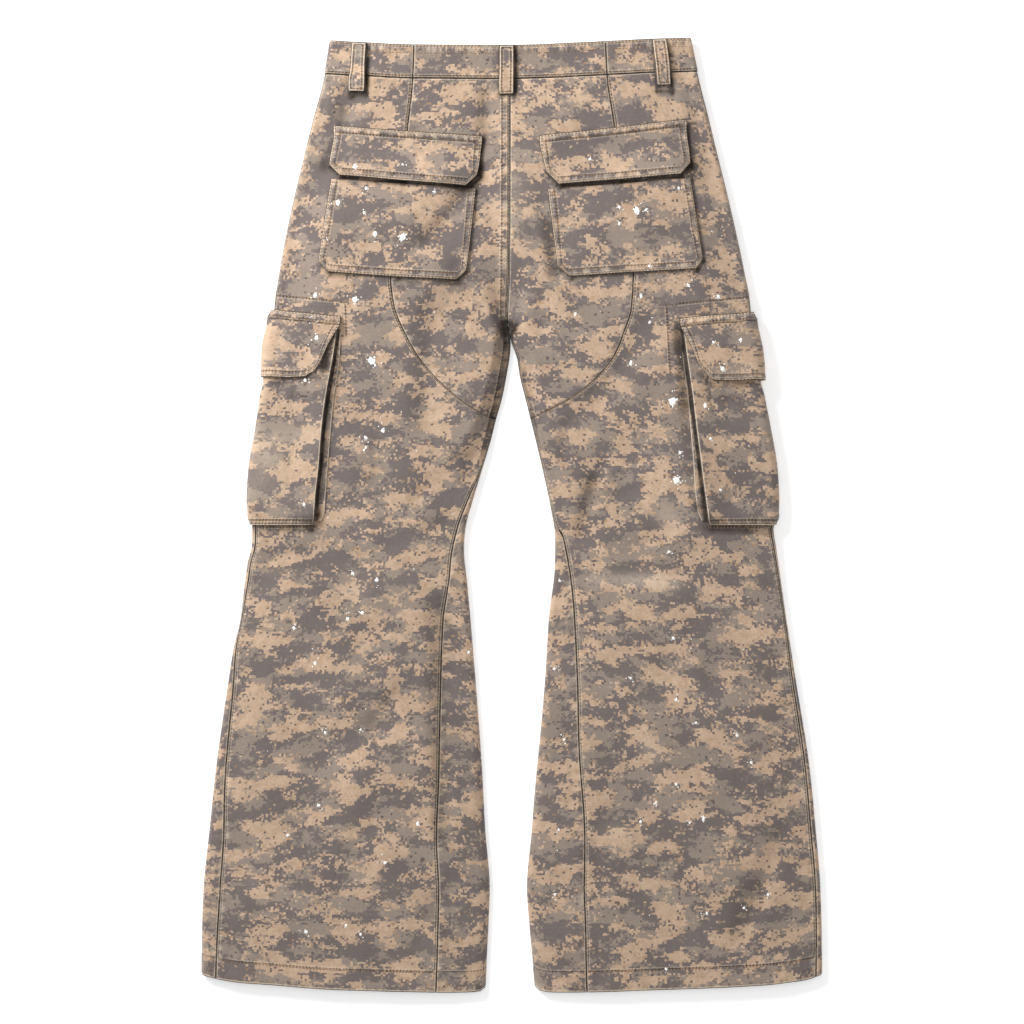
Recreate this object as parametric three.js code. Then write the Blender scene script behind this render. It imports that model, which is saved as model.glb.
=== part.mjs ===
// Cargo pants laid out flat, face down: the back shows, the waist points to +Y.
// Units are millimetres. +Z is up and the floor is z = 0. The wearer's left leg lies at -X.
// Each half is a flattened tube. A place on it is (u, y, out): u runs round the tube from the
// middle of the outer edge, positive over the top and negative underneath; y runs along the leg;
// out is the distance outside the panels' outer face.
import * as THREE from "three";

// Cloth walls, with turned edges and seam allowances counted in.
const PANEL_CLOTH = 1.6;
const BAND_CLOTH = 2.4;
const POCKET_CLOTH = 1.8;
const FLAP_CLOTH = 1.8;
const GUSSET_CLOTH = 1.3;
const LOOP_CLOTH = 1.6;
const SEAM_GAP = 0.3;
const LAY_GAP = 0.3;

// The main lengths along the garment.
const WAIST_SEAM_Y = 481;
const BAND_HEIGHT = 37;
const CROTCH_Y = 216;
const CROTCH_BLEND = 12;
const HEM_Y = -526;
const BAND_PROUD = 0.6;

// Soft roundings of the flattened tube.
const OUTER_ROUND = 5.5;
const THIGH_ROUND = 3;
const LEG_ROUND = 5;
const TRUNK_ROUND = 0.05;

// The outline of each half, seen from above: the outer edge, pockets included.
const OUTER_EDGE = {
  left: [
    { y: 520, x: -199.5 }, { y: 474, x: -207.5 }, { y: 428, x: -220.5 }, { y: 362, x: -237 },
    { y: 297, x: -250.5 }, { y: 231, x: -261 }, { y: 181, x: -274.5 }, { y: 148, x: -275.5 },
    { y: 98, x: -282 }, { y: 49, x: -290 }, { y: 16, x: -292 }, { y: -2, x: -290 },
    { y: -17, x: -285.5 }, { y: -34, x: -285.5 }, { y: -116, x: -297.5 }, { y: -182, x: -311 },
    { y: -281, x: -326 }, { y: -347, x: -333 }, { y: -413, x: -339.5 }, { y: -496, x: -341.5 },
    { y: -526, x: -341.5 },
  ],
  right: [
    { y: 525, x: 196 }, { y: 474, x: 206.5 }, { y: 428, x: 218.5 }, { y: 362, x: 235 },
    { y: 297, x: 249 }, { y: 231, x: 262.5 }, { y: 181, x: 275.5 }, { y: 148, x: 276.5 },
    { y: 98, x: 284.5 }, { y: 49, x: 292 }, { y: 16, x: 294 }, { y: -2, x: 292.5 },
    { y: -17, x: 288 }, { y: -34, x: 289.5 }, { y: -116, x: 302 }, { y: -182, x: 313 },
    { y: -281, x: 327 }, { y: -347, x: 334 }, { y: -413, x: 339.5 }, { y: -496, x: 341.5 },
    { y: -526, x: 341.5 },
  ],
};

// The centre seam down to the crotch, and from there the inner edge of each leg.
const INNER_EDGE = {
  left: [
    { y: 525, x: -1.7 }, { y: 346, x: -1.9 }, { y: 261, x: -2.8 }, { y: 222, x: -4.6 },
    { y: 206, x: -3.1 }, { y: 192, x: -1 }, { y: 180, x: -1.2 }, { y: 163, x: -3.5 },
    { y: 148, x: -6.2 }, { y: 131, x: -9.5 }, { y: 103, x: -17.3 }, { y: 82, x: -22.5 },
    { y: 16, x: -42.5 }, { y: -17, x: -51 }, { y: -39, x: -52.5 }, { y: -74, x: -49 },
    { y: -166, x: -41 }, { y: -281, x: -32.5 }, { y: -347, x: -29 }, { y: -413, x: -24 },
    { y: -446, x: -25 }, { y: -526, x: -29 },
  ],
  right: [
    { y: 525, x: -1.7 }, { y: 346, x: -1.9 }, { y: 261, x: -2.8 }, { y: 222, x: -4.6 },
    { y: 206, x: -2.3 }, { y: 192, x: 0.8 }, { y: 186, x: 2.6 }, { y: 173, x: 5.9 },
    { y: 152, x: 9.1 }, { y: 131, x: 14.3 }, { y: 103, x: 21.2 }, { y: 71, x: 29 },
    { y: 5, x: 43.5 }, { y: -23, x: 48 }, { y: -50, x: 48 }, { y: -116, x: 41 },
    { y: -182, x: 37 }, { y: -314, x: 25 }, { y: -347, x: 22.5 }, { y: -413, x: 17 },
    { y: -446, x: 19 }, { y: -526, x: 26 },
  ],
};

// The curved seam between the back seat panel and the back leg panel.
const CURVED_SEAM = {
  left: [
    { y: 520, x: -107 }, { y: 480, x: -108.5 }, { y: 425, x: -114 }, { y: 346, x: -123 },
    { y: 259, x: -132.5 }, { y: 230, x: -129 }, { y: 193, x: -114 }, { y: 161, x: -93 },
    { y: 131, x: -62 }, { y: 109, x: -29 }, { y: 103, x: -14 },
  ],
  right: [
    { y: 520, x: 103 }, { y: 480, x: 105 }, { y: 425, x: 113 }, { y: 340, x: 124 },
    { y: 263, x: 133.5 }, { y: 227, x: 131.5 }, { y: 202, x: 124 }, { y: 175, x: 113 },
    { y: 151, x: 94 }, { y: 131, x: 70 }, { y: 115, x: 41 }, { y: 103, x: 16 },
  ],
};
const CURVED_SEAM_END_Y = 105;

// How far over the top each side seam lies, from the middle of the rounded edge.
const SIDE_SEAMS = {
  left: [
    { y: 520, outseam: 1.5, inseam: 1.5 }, { y: 60, outseam: 1.5, inseam: 1.5 },
    { y: 20, outseam: 3, inseam: 8 }, { y: -16, outseam: 7, inseam: 12 },
    { y: -70, outseam: 7, inseam: 22 }, { y: -116, outseam: 4, inseam: 33 },
    { y: -190, outseam: 10, inseam: 42 }, { y: -290, outseam: 15, inseam: 51 },
    { y: -400, outseam: 22, inseam: 59 }, { y: -526, outseam: 19, inseam: 57 },
  ],
  right: [
    { y: 520, outseam: 1.5, inseam: 1.5 }, { y: 60, outseam: 1.5, inseam: 1.5 },
    { y: -10, outseam: 6, inseam: 3 }, { y: -20, outseam: 6, inseam: 10 },
    { y: -60, outseam: 5, inseam: 19 }, { y: -114, outseam: 4, inseam: 31 },
    { y: -178, outseam: 7, inseam: 38 }, { y: -250, outseam: 8, inseam: 46 },
    { y: -340, outseam: 9, inseam: 60 }, { y: -413, outseam: 9, inseam: 66 },
    { y: -526, outseam: 10, inseam: 60 },
  ],
};

// How high the top lies: at the outer edge, in the middle, and at the legs' inner edge, with the
// width over which the inner edge rises and the low ledge of the front that shows beside it.
const HEIGHTS = [
  { y: 520, edge: 12, middle: 17, inner: 17, soft: 60, ledge: 0 },
  { y: 440, edge: 12, middle: 20, inner: 20, soft: 60, ledge: 0 },
  { y: 320, edge: 13, middle: 23, inner: 20, soft: 50, ledge: 0 },
  { y: 262, edge: 14, middle: 23, inner: 12, soft: 36, ledge: 0 },
  { y: 216, edge: 16, middle: 22, inner: 6.4, soft: 22, ledge: 1 },
  { y: 185, edge: 16.5, middle: 21.5, inner: 6.2, soft: 14, ledge: 8 },
  { y: 120, edge: 15, middle: 20, inner: 6.2, soft: 14, ledge: 10 },
  { y: 80, edge: 14.2, middle: 19, inner: 7.5, soft: 30, ledge: 3 },
  { y: 30, edge: 14, middle: 18, inner: 9.5, soft: 55, ledge: 0 },
  { y: -20, edge: 13, middle: 16.5, inner: 9.5, soft: 60, ledge: 0 },
  { y: -80, edge: 10.5, middle: 14.5, inner: 9.5, soft: 60, ledge: 0 },
  { y: -350, edge: 9.5, middle: 13, inner: 9.2, soft: 60, ledge: 0 },
  { y: -526, edge: 9.2, middle: 12.5, inner: 9, soft: 60, ledge: 0 },
];
const OUTER_RISE = 60;

// The largest folds: soft troughs between two points, with their half width and depth.
const FOLDS = [
  { x0: -194, y0: 483, x1: -213, y1: 401, wide: 22, deep: 1.6 },
  { x0: -26, y0: 456, x1: -22, y1: 290, wide: 22, deep: 1.8 },
  { x0: -40, y0: 256, x1: -84, y1: 222, wide: 22, deep: 2 },
  { x0: -95, y0: 172, x1: -88, y1: 36, wide: 24, deep: 3 },
  { x0: 152, y0: 204, x1: 97, y1: 124, wide: 18, deep: 2.8 },
  { x0: 125, y0: 62, x1: 66, y1: -28, wide: 18, deep: 2.6 },
  { x0: -90, y0: -190, x1: -182, y1: -250, wide: 22, deep: 2.2 },
  { x0: 60, y0: -262, x1: 150, y1: -300, wide: 24, deep: 1.8 },
];

// The waist seam and the hem aren't straight: how far each lies above its own level.
const WAIST_RISE = [
  { x: -205, rise: 4.2 }, { x: -110, rise: -1.7 }, { x: -5, rise: -2.2 }, { x: 84, rise: 0.9 },
  { x: 150, rise: 4.4 }, { x: 205, rise: 7 },
];
const HEM_RISE = [
  { x: -342, rise: 19 }, { x: -322, rise: 14 }, { x: -300, rise: 10.4 }, { x: -206, rise: 3 },
  { x: -150, rise: 1.6 }, { x: -58, rise: -0.3 }, { x: -42, rise: 1.6 }, { x: -29, rise: 8 },
  { x: 26, rise: 8 }, { x: 43, rise: 1.6 }, { x: 60, rise: -0.3 }, { x: 175, rise: 3 },
  { x: 274, rise: 6.4 }, { x: 307, rise: 10.4 }, { x: 324, rise: 13 }, { x: 342, rise: 19 },
];

// The front lies this much higher over what is sewn on its outer face, so the garment rests flat.
const CARGO_UNDER = 4.4;
const FLAP_UNDER = 2.9;
const BAND_UNDER = 3.4;
const FLY_UNDER = 1.9;
const FLOOR_ROOM = 0.3;

// Where each of these lifts comes on: from a start, over a length. The cargo pocket's and the flap's
// end towards the waist at "above", and towards the inner leg at "across".
const LIFT_ZONES = {
  pocket: { start: -50, over: 33 },
  flap: { start: 112, over: 24 },
  above: { start: 228, over: 34 },
  across: { start: 125, over: 35 },
  band: { start: 408, over: 32 },
  fly: { start: 265, over: 40 },
  flySide: { start: 48, over: 20 },
};

// Where the leg's own edge lies inside the outline: along the cargo pocket and along its flap.
const INSET_ZONES = {
  pocket: { start: -17, over: 22 },
  pocketEnd: { start: 204, over: 22 },
  flap: { start: 130, over: 16 },
  flapEnd: { start: 226, over: 14 },
};

// The cargo pocket: its rear edge on the back of the leg, mirrored underneath.
const CARGO_BOTTOM_Y = -11.5;
const CARGO_REAR = {
  left: [
    { y: 212, x: -194 }, { y: 178, x: -198.5 }, { y: 124, x: -207.5 }, { y: 73, x: -212 },
    { y: 23, x: -216 }, { y: -3, x: -218.5 }, { y: -11.5, x: -223 },
  ],
  right: [
    { y: 212, x: 192 }, { y: 187, x: 195 }, { y: 127, x: 203 }, { y: 73, x: 208.5 },
    { y: 19, x: 213 }, { y: -5, x: 216 }, { y: -11.5, x: 221 },
  ],
};
const CARGO_ROWS = [201, 190, 178, 160, 136, 118, 108, 73, 23, 4, -4, -11.5];
const CARGO_FACE_OUT = 5.2;
const CARGO_REAR_OUT = 9.6;
const CARGO_REAR_RISE = 32;
const CARGO_EDGE_TURN = 11;

// The gusset's bellows: how far its sewn edge lies beyond the pocket's rear edge.
const GUSSET_ROWS = [190, 165, 124, 73, 23, 2];
const GUSSET_BASE = [
  { y: 200, wide: 6 }, { y: 165, wide: 9 }, { y: 124, wide: 12 }, { y: 73, wide: 10.5 },
  { y: 23, wide: 9.5 }, { y: -6, wide: 8 },
];
const GUSSET_TUCK = 7;

// The cargo flap, from its rear side to the outer edge: each column's sewn top and free end.
const CARGO_FLAP = {
  left: [
    { topX: -188.5, topY: 217.5, lowX: -211.5, lowY: 167 },
    { topX: -195, topY: 218, lowX: -219, lowY: 158.5 },
    { topX: -204, topY: 219, lowX: -228, lowY: 153 },
    { topX: -222, topY: 221, lowX: -242, lowY: 151 },
    { topX: -252, topY: 224, lowX: -262, lowY: 151.5 },
  ],
  right: [
    { topX: 187, topY: 215, lowX: 207.5, lowY: 168 },
    { topX: 194, topY: 216, lowX: 215, lowY: 158 },
    { topX: 203, topY: 217, lowX: 224, lowY: 149 },
    { topX: 222, topY: 219, lowX: 240, lowY: 149 },
    { topX: 250, topY: 221, lowX: 262, lowY: 150 },
  ],
};
const CARGO_FLAP_EDGE = { topY: 225, lowY: 152 };
const CARGO_FLAP_ROWS = 6;
const CARGO_FLAP_SETTLE = 13;

// The back pockets and their flaps: columns from the left side to the right side.
const BACK_POCKETS = {
  left: [
    { topX: -197.5, topY: 368, lowX: -211.5, lowY: 277.5 },
    { topX: -188, topY: 367, lowX: -200.5, lowY: 265.5 },
    { topX: -116, topY: 362, lowX: -125, lowY: 260 },
    { topX: -49, topY: 358, lowX: -60, lowY: 257 },
    { topX: -38.5, topY: 357, lowX: -49, lowY: 267.5 },
  ],
  right: [
    { topX: 39.5, topY: 356, lowX: 51, lowY: 271.5 },
    { topX: 50, topY: 357, lowX: 63.5, lowY: 260.5 },
    { topX: 117, topY: 362, lowX: 130, lowY: 265 },
    { topX: 186, topY: 368, lowX: 202, lowY: 269 },
    { topX: 196, topY: 369, lowX: 209.5, lowY: 280 },
  ],
};
const BACK_FLAPS = {
  left: [
    { topX: -194, topY: 426, lowX: -198.5, lowY: 383.5 },
    { topX: -185, topY: 425, lowX: -187.5, lowY: 371.5 },
    { topX: -114, topY: 421, lowX: -120, lowY: 365.5 },
    { topX: -42, topY: 416.5, lowX: -51, lowY: 360 },
    { topX: -32.5, topY: 416, lowX: -38, lowY: 372 },
  ],
  right: [
    { topX: 30, topY: 416, lowX: 38, lowY: 375.5 },
    { topX: 40, topY: 417, lowX: 52, lowY: 361.5 },
    { topX: 111, topY: 423, lowX: 118, lowY: 366.5 },
    { topX: 183, topY: 430, lowX: 184, lowY: 372.5 },
    { topX: 192, topY: 430.5, lowX: 195, lowY: 385.5 },
  ],
};
const POCKET_PUFF = 2;
const PATCH_GAP = 0.5;
const PATCH_STEPS = [1, 5, 5, 1];

// Belt loops: their middle line and how far they stand off.
const LOOP_WIDTH = 16;
const LOOP_TOP_Y = 517;
const LOOP_LOW_Y = 466;
const BACK_LOOPS = [
  { name: "loop_back_left", topX: -167, lowX: -169.5, rise: -1, arch: 2.8 },
  { name: "loop_back_center", topX: -5.5, lowX: -5.5, rise: -3, arch: 2.8 },
  { name: "loop_back_right", topX: 162, lowX: 167, rise: 0, arch: 2.8 },
];
const FRONT_LOOPS = [
  { name: "loop_front_left", side: "left", x: -92, arch: 0.9 },
  { name: "loop_front_right", side: "right", x: 88, arch: 0.9 },
];

const FLY_WIDTH = 36;
const FLY_TOP_Y = 479;
const FLY_LOW_Y = 322;
const FLY_END_WIDTH = 8;
const FLY_FROM_CENTRE = 0.5;
// The fronts' columns stay this close together over the fly.
const FLY_STEP = 24;
const BUTTON_RADIUS = 8.5;
const BUTTON_THICK = 2.4;
const BUTTON_X = -18;

const COLORS = { cloth: 0x96887a, trim: 0x8c7f72, button: 0x6f665e };
const CLOTH_FINISH = new THREE.MeshStandardMaterial({ color: COLORS.cloth, roughness: 0.9 });
const TRIM_FINISH = new THREE.MeshStandardMaterial({ color: COLORS.trim, roughness: 0.9 });
const BUTTON_FINISH = new THREE.MeshStandardMaterial({ color: COLORS.button, roughness: 0.5 });

function clamp(value, low, high) {
  return Math.min(high, Math.max(low, value));
}

function smooth(value) {
  const t = clamp(value, 0, 1);
  return t * t * (3 - 2 * t);
}

function mix(a, b, share) {
  return a + (b - a) * share;
}

// A smooth curve through a table's rows, read by one column and giving another.
function curve(rows, by, gives) {
  const points = rows.map((row) => [row[by], row[gives]]).sort((a, b) => a[0] - b[0]);
  const last = points.length - 1;
  const rises = [];
  for (let i = 0; i < last; i++)
    rises.push((points[i + 1][1] - points[i][1]) / (points[i + 1][0] - points[i][0]));
  const slopes = points.map((point, i) => {
    if (i === 0) return rises[0];
    if (i === last) return rises[last - 1];
    if (rises[i - 1] * rises[i] <= 0) return 0;
    return (2 * rises[i - 1] * rises[i]) / (rises[i - 1] + rises[i]);
  });
  return (value) => {
    const at = clamp(value, points[0][0], points[last][0]);
    let i = 0;
    while (i < last - 1 && at > points[i + 1][0]) i++;
    const span = points[i + 1][0] - points[i][0];
    const t = (at - points[i][0]) / span;
    const [a, b] = [points[i][1], points[i + 1][1]];
    return (
      a * (1 + 2 * t) * (1 - t) * (1 - t) +
      b * t * t * (3 - 2 * t) +
      slopes[i] * span * t * (1 - t) * (1 - t) -
      slopes[i + 1] * span * t * t * (1 - t)
    );
  };
}

const edgeHeight = curve(HEIGHTS, "y", "edge");
const middleHeight = curve(HEIGHTS, "y", "middle");
const innerHeight = curve(HEIGHTS, "y", "inner");
const innerSoft = curve(HEIGHTS, "y", "soft");
const innerLedge = curve(HEIGHTS, "y", "ledge");
const waistRise = curve(WAIST_RISE, "x", "rise");
const hemRise = curve(HEM_RISE, "x", "rise");
const gussetBase = curve(GUSSET_BASE, "y", "wide");

function makeSide(name, inward) {
  return {
    name,
    inward,
    outerEdge: curve(OUTER_EDGE[name], "y", "x"),
    innerEdge: curve(INNER_EDGE[name], "y", "x"),
    curvedSeam: curve(CURVED_SEAM[name], "y", "x"),
    outseam: curve(SIDE_SEAMS[name], "y", "outseam"),
    inseam: curve(SIDE_SEAMS[name], "y", "inseam"),
    cargoRear: curve(CARGO_REAR[name], "y", "x"),
  };
}

const LEFT = makeSide("left", 1);
const RIGHT = makeSide("right", -1);
const SIDES = [LEFT, RIGHT];

// 0 in the trunk and 1 in the leg, over a short way below the crotch.
function legShare(y) {
  return smooth((CROTCH_Y - y) / CROTCH_BLEND);
}

// How much the folds lower the top at a point.
function foldDepth(x, y) {
  let depth = 0;
  for (const fold of FOLDS) {
    const along = new THREE.Vector2(fold.x1 - fold.x0, fold.y1 - fold.y0);
    const length = along.length();
    along.divideScalar(length);
    const from = new THREE.Vector2(x - fold.x0, y - fold.y0);
    const reach = from.dot(along);
    const away = Math.abs(from.cross(along)) / fold.wide;
    const past = Math.max(0, -reach, reach - length) / (2 * fold.wide);
    depth += fold.deep * Math.exp(-away * away - past * past);
  }
  return depth;
}

// 0 before a zone and 1 after it.
function past(zone, value) {
  return smooth((value - zone.start) / zone.over);
}

// How much higher the front lies over what is sewn under it, d from the outer edge.
function underLift(side, d, y) {
  const across = 1 - past(LIFT_ZONES.across, d);
  const above = 1 - past(LIFT_ZONES.above, y);
  const pocket = (CARGO_UNDER + FLOOR_ROOM) * past(LIFT_ZONES.pocket, y);
  const flap = FLAP_UNDER * past(LIFT_ZONES.flap, y);
  const cargo = across * above * (pocket + flap);
  const band = (BAND_UNDER + FLOOR_ROOM) * past(LIFT_ZONES.band, y);
  const fromCentre = Math.abs(side.innerEdge(y) - side.outerEdge(y)) - d;
  const flyAcross = 1 - past(LIFT_ZONES.flySide, fromCentre);
  const fly = (FLY_UNDER + FLOOR_ROOM) * flyAcross * past(LIFT_ZONES.fly, y);
  return Math.max(cargo, band, fly);
}

// How far the leg's own edge lies inside the outline, under the cargo pocket and its flap.
function edgeInset(y) {
  const pocket = past(INSET_ZONES.pocket, y) * (1 - past(INSET_ZONES.pocketEnd, y));
  const flap = past(INSET_ZONES.flap, y) * (1 - past(INSET_ZONES.flapEnd, y));
  return CARGO_FACE_OUT * pocket + (FLAP_CLOTH + LAY_GAP) * flap;
}

// The flattened tube's section at one level.
function section(side, y) {
  const outer = side.outerEdge(y) + side.inward * edgeInset(y);
  const width = Math.abs(side.innerEdge(y) - outer);
  const lower = smooth((CROTCH_Y - 60 - y) / 80);
  const innerRound = mix(TRUNK_ROUND, mix(THIGH_ROUND, LEG_ROUND, lower), legShare(y));
  const quarterOuter = (Math.PI / 2) * OUTER_ROUND;
  const quarterInner = (Math.PI / 2) * innerRound;
  const flat = width - OUTER_ROUND - innerRound;
  const half = quarterOuter + flat + quarterInner;
  return { outer, width, innerRound, quarterOuter, quarterInner, half };
}

function topHeight(side, cut, d, y) {
  const x = cut.outer + side.inward * d;
  const middle = middleHeight(y);
  const inLeg = smooth((CROTCH_Y + 110 - y) / 110);
  const fromOuter = 1 - smooth(d / OUTER_RISE);
  const fromInner = 1 - smooth((cut.width - d - innerLedge(y)) / innerSoft(y));
  const edgeDrop = (middle - edgeHeight(y)) * fromOuter;
  const innerDrop = (middle - innerHeight(y)) * fromInner * inLeg;
  const near = Math.min(smooth(d / 30), Math.max(1 - inLeg, smooth((cut.width - d) / 40)));
  return middle - edgeDrop - innerDrop - foldDepth(x, y) * near;
}

function levelOf(x, y) {
  const atWaist = smooth((y - 380) / 100);
  const atHem = smooth((-380 - y) / 120);
  return y + waistRise(x) * atWaist + hemRise(x) * atHem;
}

function place(side, u, y, out) {
  const cut = section(side, y);
  let along = Math.abs(u);
  let onTop = u >= 0;
  if (along > cut.half) {
    along = 2 * cut.half - along;
    onTop = !onTop;
  }
  const heightAt = (d) => (onTop ? topHeight(side, cut, d, y) : underLift(side, d, y));
  const point = { x: 0, z: 0 };
  const normal = { x: 0, z: 0 };
  const flatEnd = cut.half - cut.quarterInner;
  if (along >= cut.quarterOuter && along <= flatEnd) {
    const d = OUTER_ROUND + along - cut.quarterOuter;
    const slope = heightAt(d + 0.5) - heightAt(d - 0.5);
    point.x = d;
    point.z = heightAt(d);
    normal.x = onTop ? -slope : slope;
    normal.z = onTop ? 1 : -1;
  } else {
    const outside = along < cut.quarterOuter;
    const round = outside ? OUTER_ROUND : cut.innerRound;
    const seam = outside ? round : cut.width - round;
    const high = topHeight(side, cut, seam, y);
    const low = underLift(side, seam, y);
    const angle = outside
      ? (along / cut.quarterOuter) * (Math.PI / 2)
      : ((cut.half - along) / cut.quarterInner) * (Math.PI / 2);
    const halfHigh = (high - low) / 2;
    const up = onTop ? 1 : -1;
    const away = outside ? -1 : 1;
    point.x = seam + away * round * Math.cos(angle);
    point.z = (high + low) / 2 + up * halfHigh * Math.sin(angle);
    normal.x = away * halfHigh * Math.cos(angle);
    normal.z = up * round * Math.sin(angle);
  }
  const size = Math.hypot(normal.x, normal.z);
  const x = cut.outer + side.inward * (point.x + (normal.x / size) * out);
  return new THREE.Vector3(x, levelOf(x, y), point.z + (normal.z / size) * out);
}

// The u of a point on top of one half, given by its x.
function topU(side, x, y) {
  const cut = section(side, y);
  const u = cut.quarterOuter - OUTER_ROUND + Math.abs(x - cut.outer);
  return Math.min(u, cut.half);
}

function sideAt(x, y) {
  return x < LEFT.innerEdge(y) ? LEFT : RIGHT;
}

// A place on top of the trunk, on whichever half lies there.
function onTrunk(x, y, out) {
  const side = sideAt(x, y);
  const cut = section(side, y);
  const u = Math.min(topU(side, x, y), cut.half - cut.quarterInner);
  return place(side, u, y, out);
}

// A closed wall: an outer and an inner grid of points, joined round their rims.
function closedWall(rows, columns, outerAt, innerAt) {
  const positions = [];
  const across = columns + 1;
  const size = (rows + 1) * across;
  for (const at of [outerAt, innerAt])
    for (let i = 0; i <= rows; i++)
      for (let j = 0; j <= columns; j++) positions.push(...at(i, j).toArray());
  const faces = [];
  const quad = (a, b, c, d) => faces.push(a, b, c, a, c, d);
  for (let i = 0; i < rows; i++)
    for (let j = 0; j < columns; j++) {
      const a = i * across + j;
      quad(a, a + 1, a + across + 1, a + across);
      quad(size + a, size + a + across, size + a + across + 1, size + a + 1);
    }
  for (let j = 0; j < columns; j++) {
    const low = rows * across + j;
    quad(j, size + j, size + j + 1, j + 1);
    quad(low, low + 1, size + low + 1, size + low);
  }
  for (let i = 0; i < rows; i++) {
    const first = i * across;
    const end = first + columns;
    quad(first, first + across, size + first + across, size + first);
    quad(end, size + end, size + end + across, end + across);
  }
  const corner = (n) => new THREE.Vector3().fromArray(positions, 3 * n);
  let volume = 0;
  for (let k = 0; k < faces.length; k += 3) {
    const [a, b, c] = [corner(faces[k]), corner(faces[k + 1]), corner(faces[k + 2])];
    volume += a.dot(b.cross(c));
  }
  if (volume < 0) faces.reverse();
  const geometry = new THREE.BufferGeometry();
  geometry.setAttribute("position", new THREE.Float32BufferAttribute(positions, 3));
  geometry.setIndex(faces);
  geometry.computeVertexNormals();
  return geometry;
}

const pants = new THREE.Group();
pants.name = "cargo_pants";

function addPiece(name, geometry, finish) {
  const mesh = new THREE.Mesh(geometry, finish);
  mesh.name = name;
  pants.add(mesh);
  return mesh;
}

// Values spread between knots, with a number of steps between each two.
function spread(knots, steps) {
  const values = [knots[0]];
  for (let k = 0; k < steps.length; k++)
    for (let n = 1; n <= steps[k]; n++) values.push(mix(knots[k], knots[k + 1], n / steps[k]));
  return values;
}

// A wall whose rows are levels and whose columns are spread between knots given for each level.
function bandedWall(side, levels, knotsAt, steps, outAt, thickness) {
  const grid = levels.map((y) => spread(knotsAt(y), steps));
  const columns = grid[0].length - 1;
  const outer = (i, j) => place(side, grid[i][j], levels[i], outAt(grid[i][j], levels[i]));
  const inner = (i, j) =>
    place(side, grid[i][j], levels[i], outAt(grid[i][j], levels[i]) - thickness);
  return closedWall(levels.length - 1, columns, outer, inner);
}

const TRUNK_LEVELS = [
  WAIST_SEAM_Y - SEAM_GAP / 2, 440, 408, 375, 340, 305, 265, 240, 226, CROTCH_Y, 204, 185, 160,
  136, 118, 108,
];
const LEG_LEVELS = [94, 50, 10, -17, -50, -100, -160, -225, -290, -355, -420, -480, -510, HEM_Y];
const ALL_LEVELS = [...TRUNK_LEVELS, ...LEG_LEVELS];

// The inner end of the back panels: the centre seam in the trunk, the inseam in the leg.
function backEnd(side, y) {
  const cut = section(side, y);
  const centre = cut.half - cut.quarterInner;
  return mix(centre, cut.half - side.inseam(y), legShare(y)) - SEAM_GAP / 2;
}

function frontEnd(side, y) {
  const cut = section(side, y);
  const centre = cut.half - cut.quarterInner - SEAM_GAP / 2;
  return -mix(centre, cut.half + side.inseam(y) - SEAM_GAP / 2, legShare(y));
}

function addFront(side) {
  const knotsAt = (y) => {
    const cut = section(side, y);
    const end = frontEnd(side, y);
    const leg = legShare(y);
    const innerLow = mix(end + 2 * FLY_STEP, -(cut.half - cut.quarterInner), leg);
    const innerMid = mix(end + FLY_STEP, -cut.half, leg);
    const start = side.outseam(y) - SEAM_GAP / 2;
    return [start, 0, -cut.quarterOuter, innerLow, innerMid, end];
  };
  const wall = bandedWall(side, ALL_LEVELS, knotsAt, [3, 2, 6, 2, 3], () => 0, PANEL_CLOTH);
  addPiece(`front_${side.name}`, wall, CLOTH_FINISH);
}

function seamU(side, y) {
  return Math.min(topU(side, side.curvedSeam(y), y), backEnd(side, y));
}

function addBackSeat(side) {
  const knotsAt = (y) => {
    const start = seamU(side, y) + SEAM_GAP / 2;
    const end = backEnd(side, y);
    const cut = section(side, y);
    const round = mix(end - 8, cut.half - cut.quarterInner, legShare(y));
    return [start, Math.max(round, mix(start, end, 0.6)), end];
  };
  const wall = bandedWall(side, TRUNK_LEVELS, knotsAt, [5, 2], () => 0, PANEL_CLOTH);
  addPiece(`back_seat_${side.name}`, wall, CLOTH_FINISH);
}

function addBackLeg(side) {
  const knotsAt = (y) => {
    const cut = section(side, y);
    const start = side.outseam(y) + SEAM_GAP / 2;
    const inTrunk = y > CURVED_SEAM_END_Y;
    const end = inTrunk ? seamU(side, y) - SEAM_GAP / 2 : backEnd(side, y);
    const turn = Math.max(cut.quarterOuter, start + 4);
    const flatEnd = cut.half - cut.quarterInner;
    return [start, turn, Math.min(flatEnd, end - 5), end];
  };
  const wall = bandedWall(side, ALL_LEVELS, knotsAt, [2, 7, 2], () => 0, PANEL_CLOTH);
  addPiece(`back_leg_${side.name}`, wall, CLOTH_FINISH);
}

const BAND_LEVELS = [WAIST_SEAM_Y + BAND_HEIGHT, WAIST_SEAM_Y + 19, WAIST_SEAM_Y + SEAM_GAP / 2];

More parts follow.
